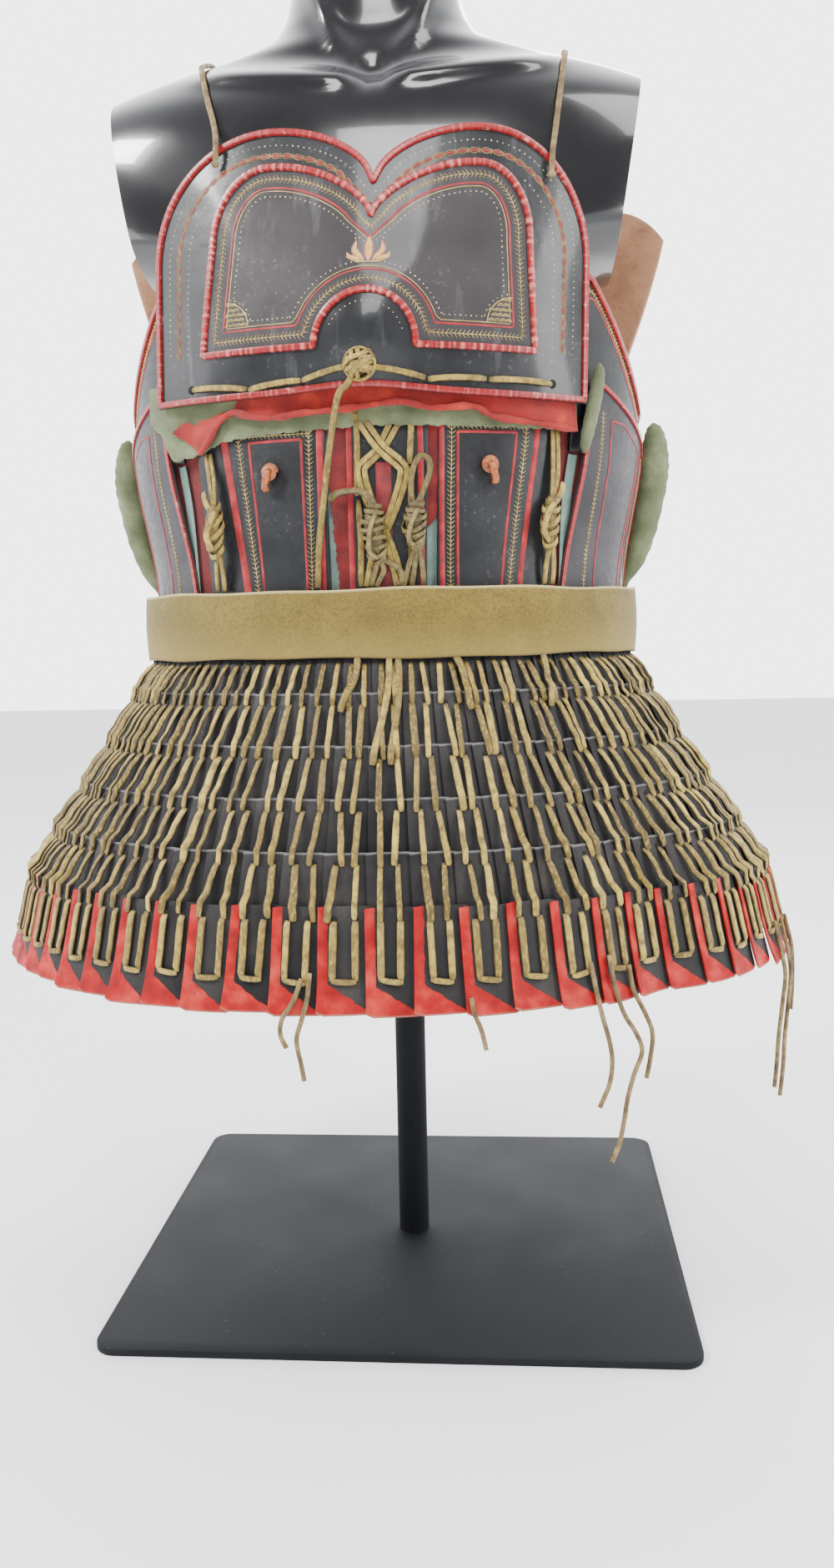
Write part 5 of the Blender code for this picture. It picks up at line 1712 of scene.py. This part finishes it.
def lamella(bm, number, index):
    """One lamella: its left edge lies proud, its right edge runs on under the next one."""
    row = ROWS[number]
    last = number == len(ROWS) - 1
    lean, drop = vary(0.35), vary(0.0016 if last else 0.0007)
    lift, curl = vary(0.0003), chance.uniform(0.0008, 0.0040) if last else 0.0
    shade = chance.random()
    top, foot = row.top.z + drop * 0.6, row.bottom.z + drop

    def place(u, v):
        wide = (1.19 if last else 1.13) * u
        angle = LAP_ANGLE * (index + wide) + lean * (0.5 - v)
        corner = max(0.0, 1 - u / 0.16, (u - 0.88) / 0.12)
        turned_in = (0.0026 if v < 0.5 else 0.0006) * corner**2 * max(0.0, abs(2 * v - 1) - 0.6) / 0.4
        z = foot + (top - foot) * v + (turned_in if v < 0.5 else -turned_in)
        face = LAMELLA_THICK - (LAMELLA_THICK - LAMELLA_THIN) * wide
        bow = 0.0007 * sin(pi * u)
        if last:
            bow += 0.0016 * max(0.0, 1 - u / 0.22)
        flare = curl * max(0.0, 1 - v / 0.45) ** 2 * (1.25 - u)
        point = round_body(along_row(row, z), angle, pleat(angle, z) + face + lift + bow + flare)
        point.z = z
        return point

    if last:
        patch(bm, 8, 10, place, shade)
    else:
        patch(bm, 5, 5, place, shade)


def make_lamellae():
    for number in range(len(ROWS)):
        bm = new_mesh()
        for index in range(LAMELLAE):
            lamella(bm, number, index)
        last = number == len(ROWS) - 1
        made = keep(
            f"lamellae_row_{number + 1}", bm, "hem_lamella" if last else "lamella",
            f"skirt_row_{number + 1}",
        )
        walled(made, LAMELLA_WALL, 0.0004)


def bowed_strand(bm, hole_shadows, number, angle):
    """One thong from its hole in this row, over the next row's upper edge, to the hole below it."""
    high = ROWS[number].top.z - 0.0095 + vary(0.0008)
    low = ROWS[number + 1].top.z - 0.0092 + vary(0.0012)
    edge = ROWS[number + 1].top.z
    side = (angle + 180) % 360 - 180
    lean = 1.3 * eased(15, 60, side) * (1 - eased(120, 160, side)) - 0.7 * eased(15, 60, -side)
    lean += vary(0.75)
    bow = 0.0013 + 0.0022 * eased(25, 70, abs(side)) + vary(0.0011)
    start = angle + vary(0.25)
    twist = vary(0.5)
    points, outs, swell = [], [], []
    shape = ((0.0, 0.0004), (0.10, 0.0022), (0.32, 0.0036), (0.55, 0.0046))
    for part, out in shape:
        z = high + (low - high) * part
        at = start + lean * part
        points.append(on_row(number, at, z, out + bow * sin(pi * min(1.0, part / 0.8))))
    for z, out in (
        (edge + 0.0014, 0.0024 + bow * 0.4), (edge - 0.0040, 0.0026), (low + 0.0012, 0.0022),
        (low - 0.0008, 0.0010),
    ):
        at = start + lean * (high - z) / (high - low)
        points.append(on_row(number + 1, at, min(z, edge - 0.0001), out) + Vector((0, 0, max(0.0, z - edge))))
    count = len(points)
    for i in range(count):
        out = away_from_body(start, number)
        turn = twist * sin(pi * i / (count - 1)) + vary(0.05)
        outs.append(Matrix.Rotation(turn, 3, "Z") @ out)
        swell.append(0.80 + 0.22 * sin(pi * i / (count - 1)) ** 0.6 + vary(0.05))
    swell[-1] *= 0.82
    width = 0.0054 * chance.uniform(0.82, 1.12) * (0.9 if number == 0 else 1.0)
    strap(bm, stations(points, outs), width, 0.0023, chance.uniform(0.0, 1.0), swell=swell)
    hole = on_row(number, start, high + 0.0010, 0.0002)
    bead(hole_shadows, hole, outs[0], HOLE_RADIUS, 0.0009)


def hem_loop(bm, hole_shadows, index):
    """The thong that ends each column: two legs down the last row's lamella, tied across at their foot."""
    number = len(ROWS) - 1
    top = ROWS[number].top.z - 0.0102
    foot = ROWS[number].top.z - 0.0520 + vary(0.0010)
    shade = chance.uniform(0.35, 0.9)
    sides = []
    for share in LEG_SHARES:
        angle = LAP_ANGLE * (index + share) + vary(0.15)
        sides.append(angle)
        line = []
        lean = vary(0.25)
        for part, out in (
            (0.0, 0.0004), (0.08, 0.0020), (0.35, 0.0024), (0.65, 0.0022), (0.90, 0.0022),
            (1.0, 0.0008),
        ):
            z = top + (foot - top) * part
            line.append(on_row(number, angle + lean * part, z, out + 0.0003 * sin(9 * part)))
        outs = [away_from_body(angle, number)] * len(line)
        swell = [0.85, 1.0, 1.02 + vary(0.05), 1.02 + vary(0.05), 1.0, 0.8]
        strap(
            bm, stations(line, outs), 0.0056 * chance.uniform(0.92, 1.08), 0.0027,
            shade + vary(0.12), swell=swell,
        )
        bead(hole_shadows, on_row(number, angle, top + 0.0012, 0.0002), outs[0], HOLE_RADIUS, 0.0009)
        bead(hole_shadows, on_row(number, angle, foot - 0.0006, 0.0002), outs[0], HOLE_RADIUS, 0.0008)
    line = []
    tilt = vary(0.0012)
    for part in spread(-0.06, 1.06, 5):
        angle = sides[0] + (sides[1] - sides[0]) * part
        out = 0.0026 + 0.0006 * sin(pi * min(1, max(0, part))) - (0.0014 if abs(part - 0.5) > 0.5 else 0.0)
        line.append(on_row(number, angle, foot - 0.0004 + tilt * (part - 0.5) * 2, out))
    outs = [away_from_body(sides[0], number)] * len(line)
    strap(bm, stations(line, outs), 0.0046, 0.0024, shade + vary(0.15), swell=(0.7, 1.0, 1.0, 1.0, 1.0, 0.7))


def make_lacing():
    # Dark discs at the holes of the skirt lacing: painted shade.
    hole_shadows = new_mesh()
    for number in range(len(ROWS) - 1):
        bm = new_mesh()
        for index in range(LAMELLAE):
            for share in LEG_SHARES:
                bowed_strand(bm, hole_shadows, number, LAP_ANGLE * (index + share))
        closed(f"lacing_row_{number + 1}", bm, "thong", smooth=60)
    bm = new_mesh()
    for index in range(LAMELLAE):
        hem_loop(bm, hole_shadows, index)
    closed("hem_lacing", bm, "thong", smooth=60)
    closed("lacing_hole_shadows", hole_shadows, "hole")


# Free thong ends at the hem, as (angle, z) down each one

HEM_THONGS = {
    "hem_thong_left_a": (
        (-6.9, 0.318), (-7.1, 0.300), (-7.6, 0.285), (-8.3, 0.270), (-7.8, 0.252), (-7.5, 0.240),
    ),
    "hem_thong_left_b": ((-7.9, 0.314), (-8.8, 0.298), (-10.0, 0.286), (-10.3, 0.274), (-9.6, 0.264)),
    "hem_thong_front": ((12.6, 0.300), (12.9, 0.289), (13.6, 0.279), (14.0, 0.270), (14.3, 0.262)),
    "hem_thong_side_a": (
        (31.3, 0.322), (31.5, 0.300), (32.7, 0.278), (34.7, 0.262), (35.9, 0.246), (34.5, 0.230),
        (33.3, 0.212), (32.7, 0.196), (31.9, 0.180), (30.5, 0.166),
    ),
    "hem_thong_side_b": (
        (28.6, 0.318), (28.9, 0.298), (29.3, 0.280), (30.0, 0.262), (30.6, 0.246), (30.2, 0.228),
        (28.9, 0.210),
    ),
    "hem_thong_side_c": (
        (34.6, 0.312), (34.8, 0.294), (36.3, 0.276), (37.9, 0.258), (37.5, 0.240), (36.7, 0.224),
    ),
    "hem_thong_far_a": (
        (70.5, 0.318), (70.2, 0.296), (70.7, 0.274), (69.2, 0.250), (67.2, 0.226), (66.2, 0.204),
        (65.4, 0.184),
    ),
    "hem_thong_far_b": (
        (75.0, 0.316), (74.2, 0.294), (75.9, 0.270), (73.4, 0.246), (70.9, 0.220), (70.2, 0.196),
        (68.3, 0.172),
    ),
    "hem_thong_far_c": ((80.8, 0.314), (79.4, 0.292), (81.6, 0.272), (78.9, 0.252), (76.6, 0.236)),
}


def hem_point(angle, z):
    """A thong's middle on the bottom row's outer face; below the hem it hangs straight down."""
    last = ROWS[-1]
    section = along_row(last, max(z, last.bottom.z))
    low = angle - angle % LAP_ANGLE
    high = low + LAP_ANGLE
    lap = LAMELLA_THIN if z > last.bottom.z else LAMELLA_THICK
    start = round_body(section, low, pleat(low, section.z) + LAMELLA_THICK)
    end = round_body(section, high, pleat(high, section.z) + lap)
    along = (end - start).normalized()
    outward = Vector((along.y, -along.x, 0.0))
    point = start.lerp(end, (angle - low) / LAP_ANGLE) + outward * (THONG_RADIUS + TOUCH + 0.0028)
    point.z = z
    return point


def make_hem_thongs():
    for name, table in HEM_THONGS.items():
        points = smooth_route([hem_point(angle, z) for angle, z in table], 5)
        curve = bpy.data.curves.new(f"{name}_cord", "CURVE")
        curve.dimensions = "3D"
        curve.bevel_depth = THONG_RADIUS
        curve.bevel_resolution = 4
        curve.use_fill_caps = True
        spline = curve.splines.new("POLY")
        spline.points.add(len(points) - 1)
        for i, point in enumerate(points):
            spline.points[i].co = (*point, 1.0)
            spline.points[i].radius = 1.0
        curve.materials.append(FINISHES["free_thong"])
        made = bpy.data.objects.new(f"{name}_cord", curve)
        bpy.context.scene.collection.objects.link(made)
        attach(made, "root")
        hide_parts(name)
        length = sum((b - a).length for a, b in zip(points, points[1:]))
        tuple(points[0])
        print("cord", name, round(length, 3))


# Ties, knots and toggles


def thong_through(bm, points, outs, width, thick, shade=0.6, steps=5, ends=0.7, wobble=0.06):
    route = smooth_route(points, steps)
    ways = []
    for i in range(len(route)):
        at = i / (len(route) - 1) * (len(outs) - 1)
        k = min(len(outs) - 2, int(at))
        ways.append(outs[k].lerp(outs[k + 1], at - k).normalized())
    line = stations(route, ways)
    swell = [share * (1 + vary(wobble)) for share in rounded_ends(len(line), ends)]
    strap(bm, line, width, thick, shade, swell=swell)


def wrapped_knot(bm, route, radii, turns, width, shade=0.55, slant=1.0):
    """A thong wound round a bundle: the coils swell in the middle."""
    spine = smooth_route(route, 8)
    count = len(spine)
    core = stations(spine, [Vector((0, -1, 0))] * count)
    sizes = []
    for i in range(count):
        at = i / (count - 1) * (len(radii) - 1)
        k = min(len(radii) - 2, int(at))
        sizes.append(radii[k] + (radii[k + 1] - radii[k]) * (at - k))
    widest = max(sizes)
    strap(
        bm, core, 1.75 * widest, 1.5 * widest, shade * 0.6, sides=12,
        swell=[s / widest for s in sizes], square=1.0,
    )
    points, ways = [], []
    total = int(turns * 12)
    loose = [1 + vary(0.13) for _ in range(int(turns) + 3)]
    slants = [slant + vary(0.8) for _ in range(int(turns) + 3)]
    for i in range(total + 1):
        j = i // 12
        part = (i % 12) / 12
        fit = loose[j] + (loose[j + 1] - loose[j]) * part
        lean = slants[j] + (slants[j + 1] - slants[j]) * part
        at = i / total * (count - 1)
        k = min(count - 2, int(at))
        here = core[k]
        centre = spine[k].lerp(spine[k + 1], at - k)
        size = sizes[k] + (sizes[k + 1] - sizes[k]) * (at - k)
        turn = tau * turns * i / total
        across = here.ahead.cross(here.out)
        way = across * cos(turn) * 1.05 + here.out * sin(turn) * 0.9
        points.append(centre + way * size * fit + here.ahead * (lean * size * 0.55 * sin(turn + 0.6)))
        ways.append(way.normalized())
    line = stations(points, ways)
    swell = [1 + vary(0.10) for _ in line]
    strap(bm, line, width, 0.0020, shade, swell=swell)
    over = []
    for part, side in ((0.15, -0.5), (0.40, 0.2), (0.65, 0.7), (0.88, 0.3)):
        k = round(part * (count - 1))
        across = core[k].ahead.cross(core[k].out)
        over.append(spine[k] + across * (side * sizes[k]) + core[k].out * (sizes[k] + 0.0022))
    thong_through(bm, over, [core[0].out, core[0].out], width * 1.1, 0.0022, shade + 0.2, 4, 0.6)


def ball_knot(bm, centre, radius, width):
    """A thong tied in a ball: three sets of loops that pass over one another."""
    core = bmesh.ops.create_icosphere(bm, subdivisions=3, radius=radius * 0.86)
    bmesh.ops.transform(bm, matrix=Matrix.Translation(centre), verts=core["verts"])
    set_tone(bm, core["verts"], 0.40)
    for number, (axis, turn) in enumerate((("X", 0.35), ("Y", 1.2), ("Z", 0.25), ("X", 1.75), ("Y", 2.5))):
        for offset in (-0.36, 0.30):
            turned = Matrix.Rotation(turn + vary(0.15), 3, axis) @ Matrix.Rotation(number * 0.9, 3, "Z")
            points, ways = [], []
            ring = sqrt(1 - offset**2) * radius * (1.0 + 0.05 * number)
            for t in spread(0, tau, 22)[:-1]:
                spot = Vector((cos(t) * ring, sin(t) * ring, offset * radius + 0.0006 * sin(3 * t)))
                points.append(centre + turned @ spot)
                ways.append((turned @ Vector((cos(t), sin(t), offset))).normalized())
            line = stations(points, ways, ring=True)
            strap(bm, line, width, 0.0022, chance.uniform(0.45, 0.95))


def front(x, z, out):
    return Vector((x, waist_y(x, z, HIDE + out), z))


OUT = Vector((0, -1, 0))


def make_breast_lacing():
    """The thong through the lower edge of the breast plate, its ball knot, and the end that hangs from it."""
    # The second mesh holds dark discs at the lacing holes: painted shade.
    bm, hole_shadows = new_mesh(), new_mesh()
    spots = (
        (-0.1390, 0.7520), (-0.0905, 0.7478), (-0.0470, 0.7515), (0.0480, 0.7515), (0.0935, 0.7532),
        (0.1430, 0.7530),
    )
    for x, z in spots:
        bead(hole_shadows, on_breast(x, z, 0.0001), OUT, 0.0036, 0.0008, detail=2)
    knot = on_breast(-0.0015, 0.7600, 0.0085)
    runs = (
        ((-0.1390, 0.7522), (-0.0915, 0.7484), 0.0018),
        ((-0.0900, 0.7476), (-0.0480, 0.7520), 0.0018),
        ((-0.0465, 0.7512), (-0.0105, 0.7600), 0.0036),
        ((0.0080, 0.7590), (0.0470, 0.7520), 0.0036),
        ((0.0488, 0.7516), (0.0925, 0.7534), 0.0018),
        ((0.0945, 0.7530), (0.1430, 0.7530), 0.0018),
    )
    for (a, b), (c, d), lift in runs:
        points = []
        for part in spread(0, 1, 6):
            bow = lift + 0.0008 * sin(pi * part)
            low = 0.0004 if part in (0.0, 1.0) and lift < 0.003 else bow
            points.append(on_breast(a + (c - a) * part, b + (d - b) * part + 0.0008 * sin(pi * part), low))
        thong_through(bm, points, [OUT, OUT], 0.0048, 0.0026, chance.uniform(0.55, 0.8), 3, 0.75)
    ball_knot(bm, knot, 0.0102, 0.0040)
    tail = [
        on_breast(-0.006, 0.7535, 0.0095), on_breast(-0.011, 0.7460, 0.0080),
        on_breast(-0.0175, 0.7385, 0.0080), front(-0.0270, 0.7100, 0.0135),
        front(-0.0335, 0.6700, 0.0095), front(-0.0395, 0.6300, 0.0050),
        front(-0.0420, 0.5980, 0.0026),
    ]
    thong_through(bm, tail, [OUT, OUT, OUT], 0.0052, 0.0024, 0.42, 7, 0.9)
    closed("breast_lacing", bm, "thong", "breast_tie", smooth=60)
    closed("breast_lacing_hole_shadows", hole_shadows, "hole")


def make_waist_ties():
    bm = new_mesh()
    loop = [
        front(-0.0310, 0.6640, 0.0020), front(-0.0250, 0.6685, 0.0060),
        front(-0.0150, 0.6700, 0.0090), front(-0.0050, 0.6690, 0.0110),
        front(0.0020, 0.6630, 0.0125), front(0.0045, 0.6560, 0.0120),
    ]
    thong_through(bm, loop, [OUT, OUT + Vector((0, 0, 0.9)), OUT], 0.0058, 0.0028, 0.5)
    wrapped_knot(
        bm,
        [
            front(0.0045, 0.6600, 0.0105), front(0.0035, 0.6450, 0.0110),
            front(0.0060, 0.6260, 0.0095), front(0.0095, 0.6170, 0.0080),
        ],
        (0.0046, 0.0084, 0.0074, 0.0034), 8.5, 0.0034,
    )
    for x, foot in ((0.0010, 0.0005), (0.0075, 0.0045), (0.0200, 0.0235)):
        tail = [front(0.0070, 0.6200, 0.0085), front(x + 0.0030, 0.6100, 0.0060), front(foot, 0.5980, 0.0036)]
        thong_through(bm, tail, [OUT, OUT], 0.0046, 0.0024, 0.6, 5, 0.85)
    closed("placket_knot_left", bm, "dark_thong", "placket_tie_left", smooth=60)

    bm = new_mesh()
    eye = [
        (0.0345, 0.6585, 0.0090), (0.0330, 0.6700, 0.0085), (0.0345, 0.6850, 0.0080),
        (0.0400, 0.6950, 0.0080), (0.0465, 0.6925, 0.0085), (0.0475, 0.6830, 0.0090),
        (0.0420, 0.6680, 0.0100), (0.0375, 0.6585, 0.0100),
    ]
    thong_through(bm, [front(*p) for p in eye], [OUT, OUT], 0.0048, 0.0028, 0.5, 5, 0.9)
    wrapped_knot(
        bm,
        [
            front(0.0370, 0.6610, 0.0100), front(0.0350, 0.6480, 0.0110),
            front(0.0360, 0.6340, 0.0095), front(0.0375, 0.6260, 0.0080),
        ],
        (0.0044, 0.0082, 0.0070, 0.0034), 7.5, 0.0034,
    )
    for x, foot in ((0.0345, 0.0320), (0.0400, 0.0410), (0.0300, 0.0255)):
        tail = [front(0.0370, 0.6300, 0.0085), front(x, 0.6140, 0.0060), front(foot, 0.5980, 0.0036)]
        thong_through(bm, tail, [OUT, OUT], 0.0046, 0.0024, 0.55, 5, 0.85)
    closed("placket_knot_right", bm, "dark_thong", "placket_tie_right", smooth=60)

    for side, sign, spine in (
        (
            "right", 1,
            (
                (0.1435, 0.7180), (0.1435, 0.6850), (0.1415, 0.6640), (0.1390, 0.6460),
                (0.1400, 0.6260), (0.1375, 0.5980),
            ),
        ),
        (
            "left", -1,
            (
                (0.1315, 0.7060), (0.1275, 0.6850), (0.1265, 0.6640), (0.1265, 0.6440),
                (0.1240, 0.6250), (0.1235, 0.5980),
            ),
        ),
    ):
        bm = new_mesh()
        turned = Matrix.Rotation(radians(34) * sign, 3, "Z") @ OUT
        (a, b), (c, d), (e, f), (g, h), (i, j), (k, m) = spine
        for shift in (-0.0016, 0.0022):
            high = [
                front(sign * (a + shift), b, 0.0016), front(sign * (c + shift), d, 0.0060),
                front(sign * (e + shift * 0.5), f, 0.0085),
            ]
            thong_through(bm, high, [turned, turned], 0.0044, 0.0024, 0.55, 6, 0.85)
        knot = [front(sign * e, f + 0.001, 0.0088), front(sign * g, h, 0.0105), front(sign * i, j, 0.0090)]
        wrapped_knot(bm, knot, (0.0044, 0.0072, 0.0040), 5.0, 0.0044, 0.7, 1.8)
        for shift, lift in ((-0.0030, 0.0040), (0.0030, 0.0046)):
            low = [
                front(sign * (i + shift * 0.4), j + 0.002, 0.0090),
                front(sign * ((i + k) / 2 + shift), (j + m) / 2, 0.0066),
                front(sign * (k + shift), m, lift),
            ]
            thong_through(bm, low, [turned, turned], 0.0048, 0.0024, 0.6, 6, 0.85)
        ear = [
            front(sign * (e + 0.002), f - 0.004, 0.0110),
            front(sign * (e + 0.0065), f + 0.004, 0.0110),
            front(sign * (e + 0.0085), f + 0.0120, 0.0090),
        ]
        thong_through(bm, ear, [turned, turned], 0.0056, 0.0022, 0.8, 5, 0.8)
        closed(f"side_knot_{side}", bm, "thong", f"side_tie_{side}", smooth=60)


def make_waist_loops():
    """Spare turns of thong that come out under the belt and end in the rows below it."""
    bm = new_mesh()
    for start, end, row, shade in (
        (3.6, 1.2, 1, 0.75), (5.4, 4.2, 1, 0.35), (-3.0, -5.0, 0, 0.5), (17.5, 19.5, 0, 0.4),
        (38.0, 36.5, 0, 0.6),
    ):
        low = ROWS[row + 1].top.z - 0.014
        points = []
        for part in spread(0, 1, 8):
            z = 0.5435 + (low - 0.5435) * part
            number = sum(1 for r in ROWS[1:] if z < r.top.z + 0.002)
            angle = start + (end - start) * part + 0.5 * sin(5 * part)
            lift = 0.0052 if part < 0.95 else 0.0030
            edge = ROWS[number].top.z
            spot = on_row(number, angle, min(z, edge), lift)
            points.append(spot + Vector((0, 0, max(0.0, z - edge))))
        out = away_from_body(start, 0)
        thong_through(bm, points, [out, out], 0.0056, 0.0026, shade, 3, 0.8)
    closed("waist_thong_turns", bm, "thong", smooth=60)


def form_top(x):
    rows = [row for row in FORM_SECTIONS if row.z > STUB_Z]
    for low, high in zip(rows, rows[1:]):
        if high.half_width <= x:
            return low.z + (high.z - low.z) * (low.half_width - x) / (low.half_width - high.half_width)
    return rows[-1].z


def make_shoulder_cords():
    """From each lobe over the shoulder to the back plate, lying on the form."""
    on_form = CORD_RADIUS + 0.0040
    on_rim = CORD_RADIUS + 0.0022 + FACET + TOUCH
    for side, sign, inward in (("left", -1, 0.018), ("right", 1, 0.0)):
        front_x, top_x, back_x = 0.139 - inward, 0.157 - inward, 0.160 - inward
        top_z = form_top(top_x) + CORD_RADIUS + 0.0034
        edge_z = lobe_top(BREAST_LOBE, BREAST_HALF, front_x) + 0.0028
        points = []
        for z in (edge_z - 0.016, edge_z):
            hung = on_breast(sign * front_x, z, on_rim)
            points.append((sign * hung.x, hung.y, hung.z))
        front_x, _, edge_z = points[-1]
        for z in (edge_z + 0.021, 0.982, 1.006, 1.016, 1.025):
            x = front_x + (top_x - front_x) * (z - edge_z) / (1.025 - edge_z)
            points.append((x, -form_depth(x, z) - on_form, z))
        points += [(top_x, y, top_z) for y in (-0.012, 0.012)]
        for z in (1.025, 1.016, 1.006):
            points.append((top_x, form_depth(top_x, z, back=True) + on_form, z))
        points.append((0.158 - inward, on_back(0.158 - inward, 0.950).y - HIDE - 0.010, 0.968))
        for z, lift in ((0.953, on_rim), (0.942, on_rim), (0.926, CORD_RADIUS + TOUCH)):
            points.append((back_x, on_back(back_x, z).y + lift, z))
        route = smooth_route([(sign * x, y, z) for x, y, z in points], 5)
        centre = Vector((sign * 0.14, 0, 0.97))
        line = stations(route, [(p - centre).normalized() for p in route])
        bm = new_mesh()
        strap(bm, line, 0.0046, 0.0036, 0.30, swell=rounded_ends(len(line), 0.7), square=0.9)
        start = line[0]
        bead(bm, start.point + Vector((0, -0.0002, -0.001)), OUT, 0.0030, 0.0024, 0.4, detail=2)
        closed(f"shoulder_thong_{side}", bm, "free_thong", f"shoulder_cord_{side}", smooth=70)


def make_toggles():
    """A rolled hide button through each front plate, with its tail."""
    for side, x, z, lean in (("left", -0.077, 0.6875, 1), ("right", 0.092, 0.6890, -1)):
        bm = new_mesh()
        base = front(x, z, 0.0)
        turned = (front(x + 0.001, z, 0.0) - front(x - 0.001, z, 0.0)).normalized()
        out = turned.cross(Vector((0, 0, 1))).normalized()
        coil, ways = [], []
        for t in spread(0.0, tau * 1.6, 26):
            size = 0.0066 - 0.0022 * t / (tau * 1.6)
            way = turned * cos(t * lean) + Vector((0, 0, 1)) * sin(t)
            coil.append(base + way * size * 0.8 + out * (0.0035 + 0.0024 * t / tau))
            ways.append(out + way * 0.5)
        strap(bm, stations(coil, ways), 0.0042, 0.0036, 0.5, swell=rounded_ends(27, 0.7))
        tail = [
            base + out * 0.0070 + Vector((0, 0, 0.0015)),
            base + out * 0.0085 - turned * 0.0020 * lean + Vector((0, 0, -0.0060)),
            base + out * 0.0066 - turned * 0.0034 * lean + Vector((0, 0, -0.0105)),
            base + out * 0.0046 - turned * 0.0040 * lean + Vector((0, 0, -0.0140)),
        ]
        thong_through(bm, tail, [out, out], 0.0060, 0.0034, 0.6, 5, 0.75)
        closed(f"toggle_{side}_hide", bm, "toggle", f"toggle_{side}", smooth=60)


# The view, the floor and the light


SENSOR = 36
FOCAL_PIXELS = 1500
PICTURE_HEIGHT = 1879


def set_camera():
    azimuth, away, height = radians(4.5), 1.125, 0.56
    pitch, roll, side = radians(6.8), radians(-1.2), 0.021
    right = Vector((cos(azimuth), sin(azimuth), 0))
    level = Vector((-sin(azimuth), cos(azimuth), 0))
    spot = -level * away + right * side + Vector((0, 0, height))
    ahead = level * cos(pitch) - Vector((0, 0, 1)) * sin(pitch)
    up = right.cross(ahead)
    across = right * cos(roll) + up * sin(roll)
    above = up * cos(roll) - right * sin(roll)
    data = bpy.data.cameras.new("photo_view")
    data.sensor_width = SENSOR
    data.lens = SENSOR * FOCAL_PIXELS / PICTURE_HEIGHT
    data.clip_start = 0.01
    camera = bpy.data.objects.new("photo_view", data)
    bpy.context.scene.collection.objects.link(camera)
    turn = Matrix((across, above, -ahead)).transposed().to_4x4()
    camera.matrix_world = Matrix.Translation(spot) @ turn
    bpy.context.scene.camera = camera


def panel_light(name, spot, aim, width, height, power, colour=(1.0, 1.0, 1.0)):
    data = bpy.data.lights.new(name, "AREA")
    data.shape = "RECTANGLE"
    data.size, data.size_y = width, height
    data.energy = power
    data.color = colour
    lamp = bpy.data.objects.new(name, data)
    bpy.context.scene.collection.objects.link(lamp)
    way = Vector(aim) - Vector(spot)
    lamp.matrix_world = Matrix.Translation(spot) @ way.to_track_quat("-Z", "Y").to_matrix().to_4x4()


def make_studio():
    bm = new_mesh()
    bmesh.ops.create_grid(bm, x_segments=8, y_segments=8, size=9.0, calc_uvs=True)
    mesh = bpy.data.meshes.new("floor")
    bm.to_mesh(mesh)
    bm.free()
    mesh.materials.append(floor_finish())
    floor = bpy.data.objects.new("floor", mesh)
    bpy.context.scene.collection.objects.link(floor)
    world = bpy.data.worlds.new("pale_room")
    world.use_nodes = True
    tree = world.node_tree
    coords = tree.nodes.new("ShaderNodeTexCoord")
    parts = tree.nodes.new("ShaderNodeSeparateXYZ")
    fade = tree.nodes.new("ShaderNodeMapRange")
    fade.interpolation_type = "SMOOTHSTEP"
    for key, value in (("From Min", -0.60), ("From Max", 0.60), ("To Min", 0.42), ("To Max", 4.2)):
        fade.inputs[key].default_value = value
    tree.links.new(coords.outputs["Generated"], parts.inputs[0])
    tree.links.new(parts.outputs["Y"], fade.inputs["Value"])
    tree.links.new(fade.outputs["Result"], tree.nodes["Background"].inputs["Strength"])
    tree.nodes["Background"].inputs["Color"].default_value = (0.97, 0.985, 1.0, 1.0)
    bpy.context.scene.world = world
    panel_light("top_softbox", (0.05, -1.75, 2.20), (0.0, 0.0, 0.8), 0.8, 0.6, 24)
    panel_light("high_left_softbox", (-1.60, -1.00, 2.15), (0.0, 0.0, 0.8), 0.4, 0.5, 54)
    panel_light("high_right_softbox", (1.25, -0.85, 2.35), (0.0, 0.0, 0.9), 0.7, 1.0, 20)
    panel_light("left_softbox", (-2.0, -0.70, 1.30), (0.0, 0.0, 0.7), 0.7, 1.9, 18)
    panel_light("right_softbox", (1.75, -1.05, 1.35), (0.0, 0.0, 0.8), 0.35, 1.6, 26)
    panel_light("back_softbox", (0.6, 2.10, 2.10), (0.0, 0.0, 0.8), 1.4, 1.0, 34)


set_camera()
make_hem_thongs()
make_stand()
make_form()
make_breast()
make_back()
make_front_plates()
make_placket()
make_side_plates()
make_back_waist()
make_underarm()
make_bands()
make_strips()
make_rolls()
make_belt()
make_lamellae()
make_lacing()
make_waist_loops()
make_breast_lacing()
make_waist_ties()
make_shoulder_cords()
make_toggles()
make_studio()
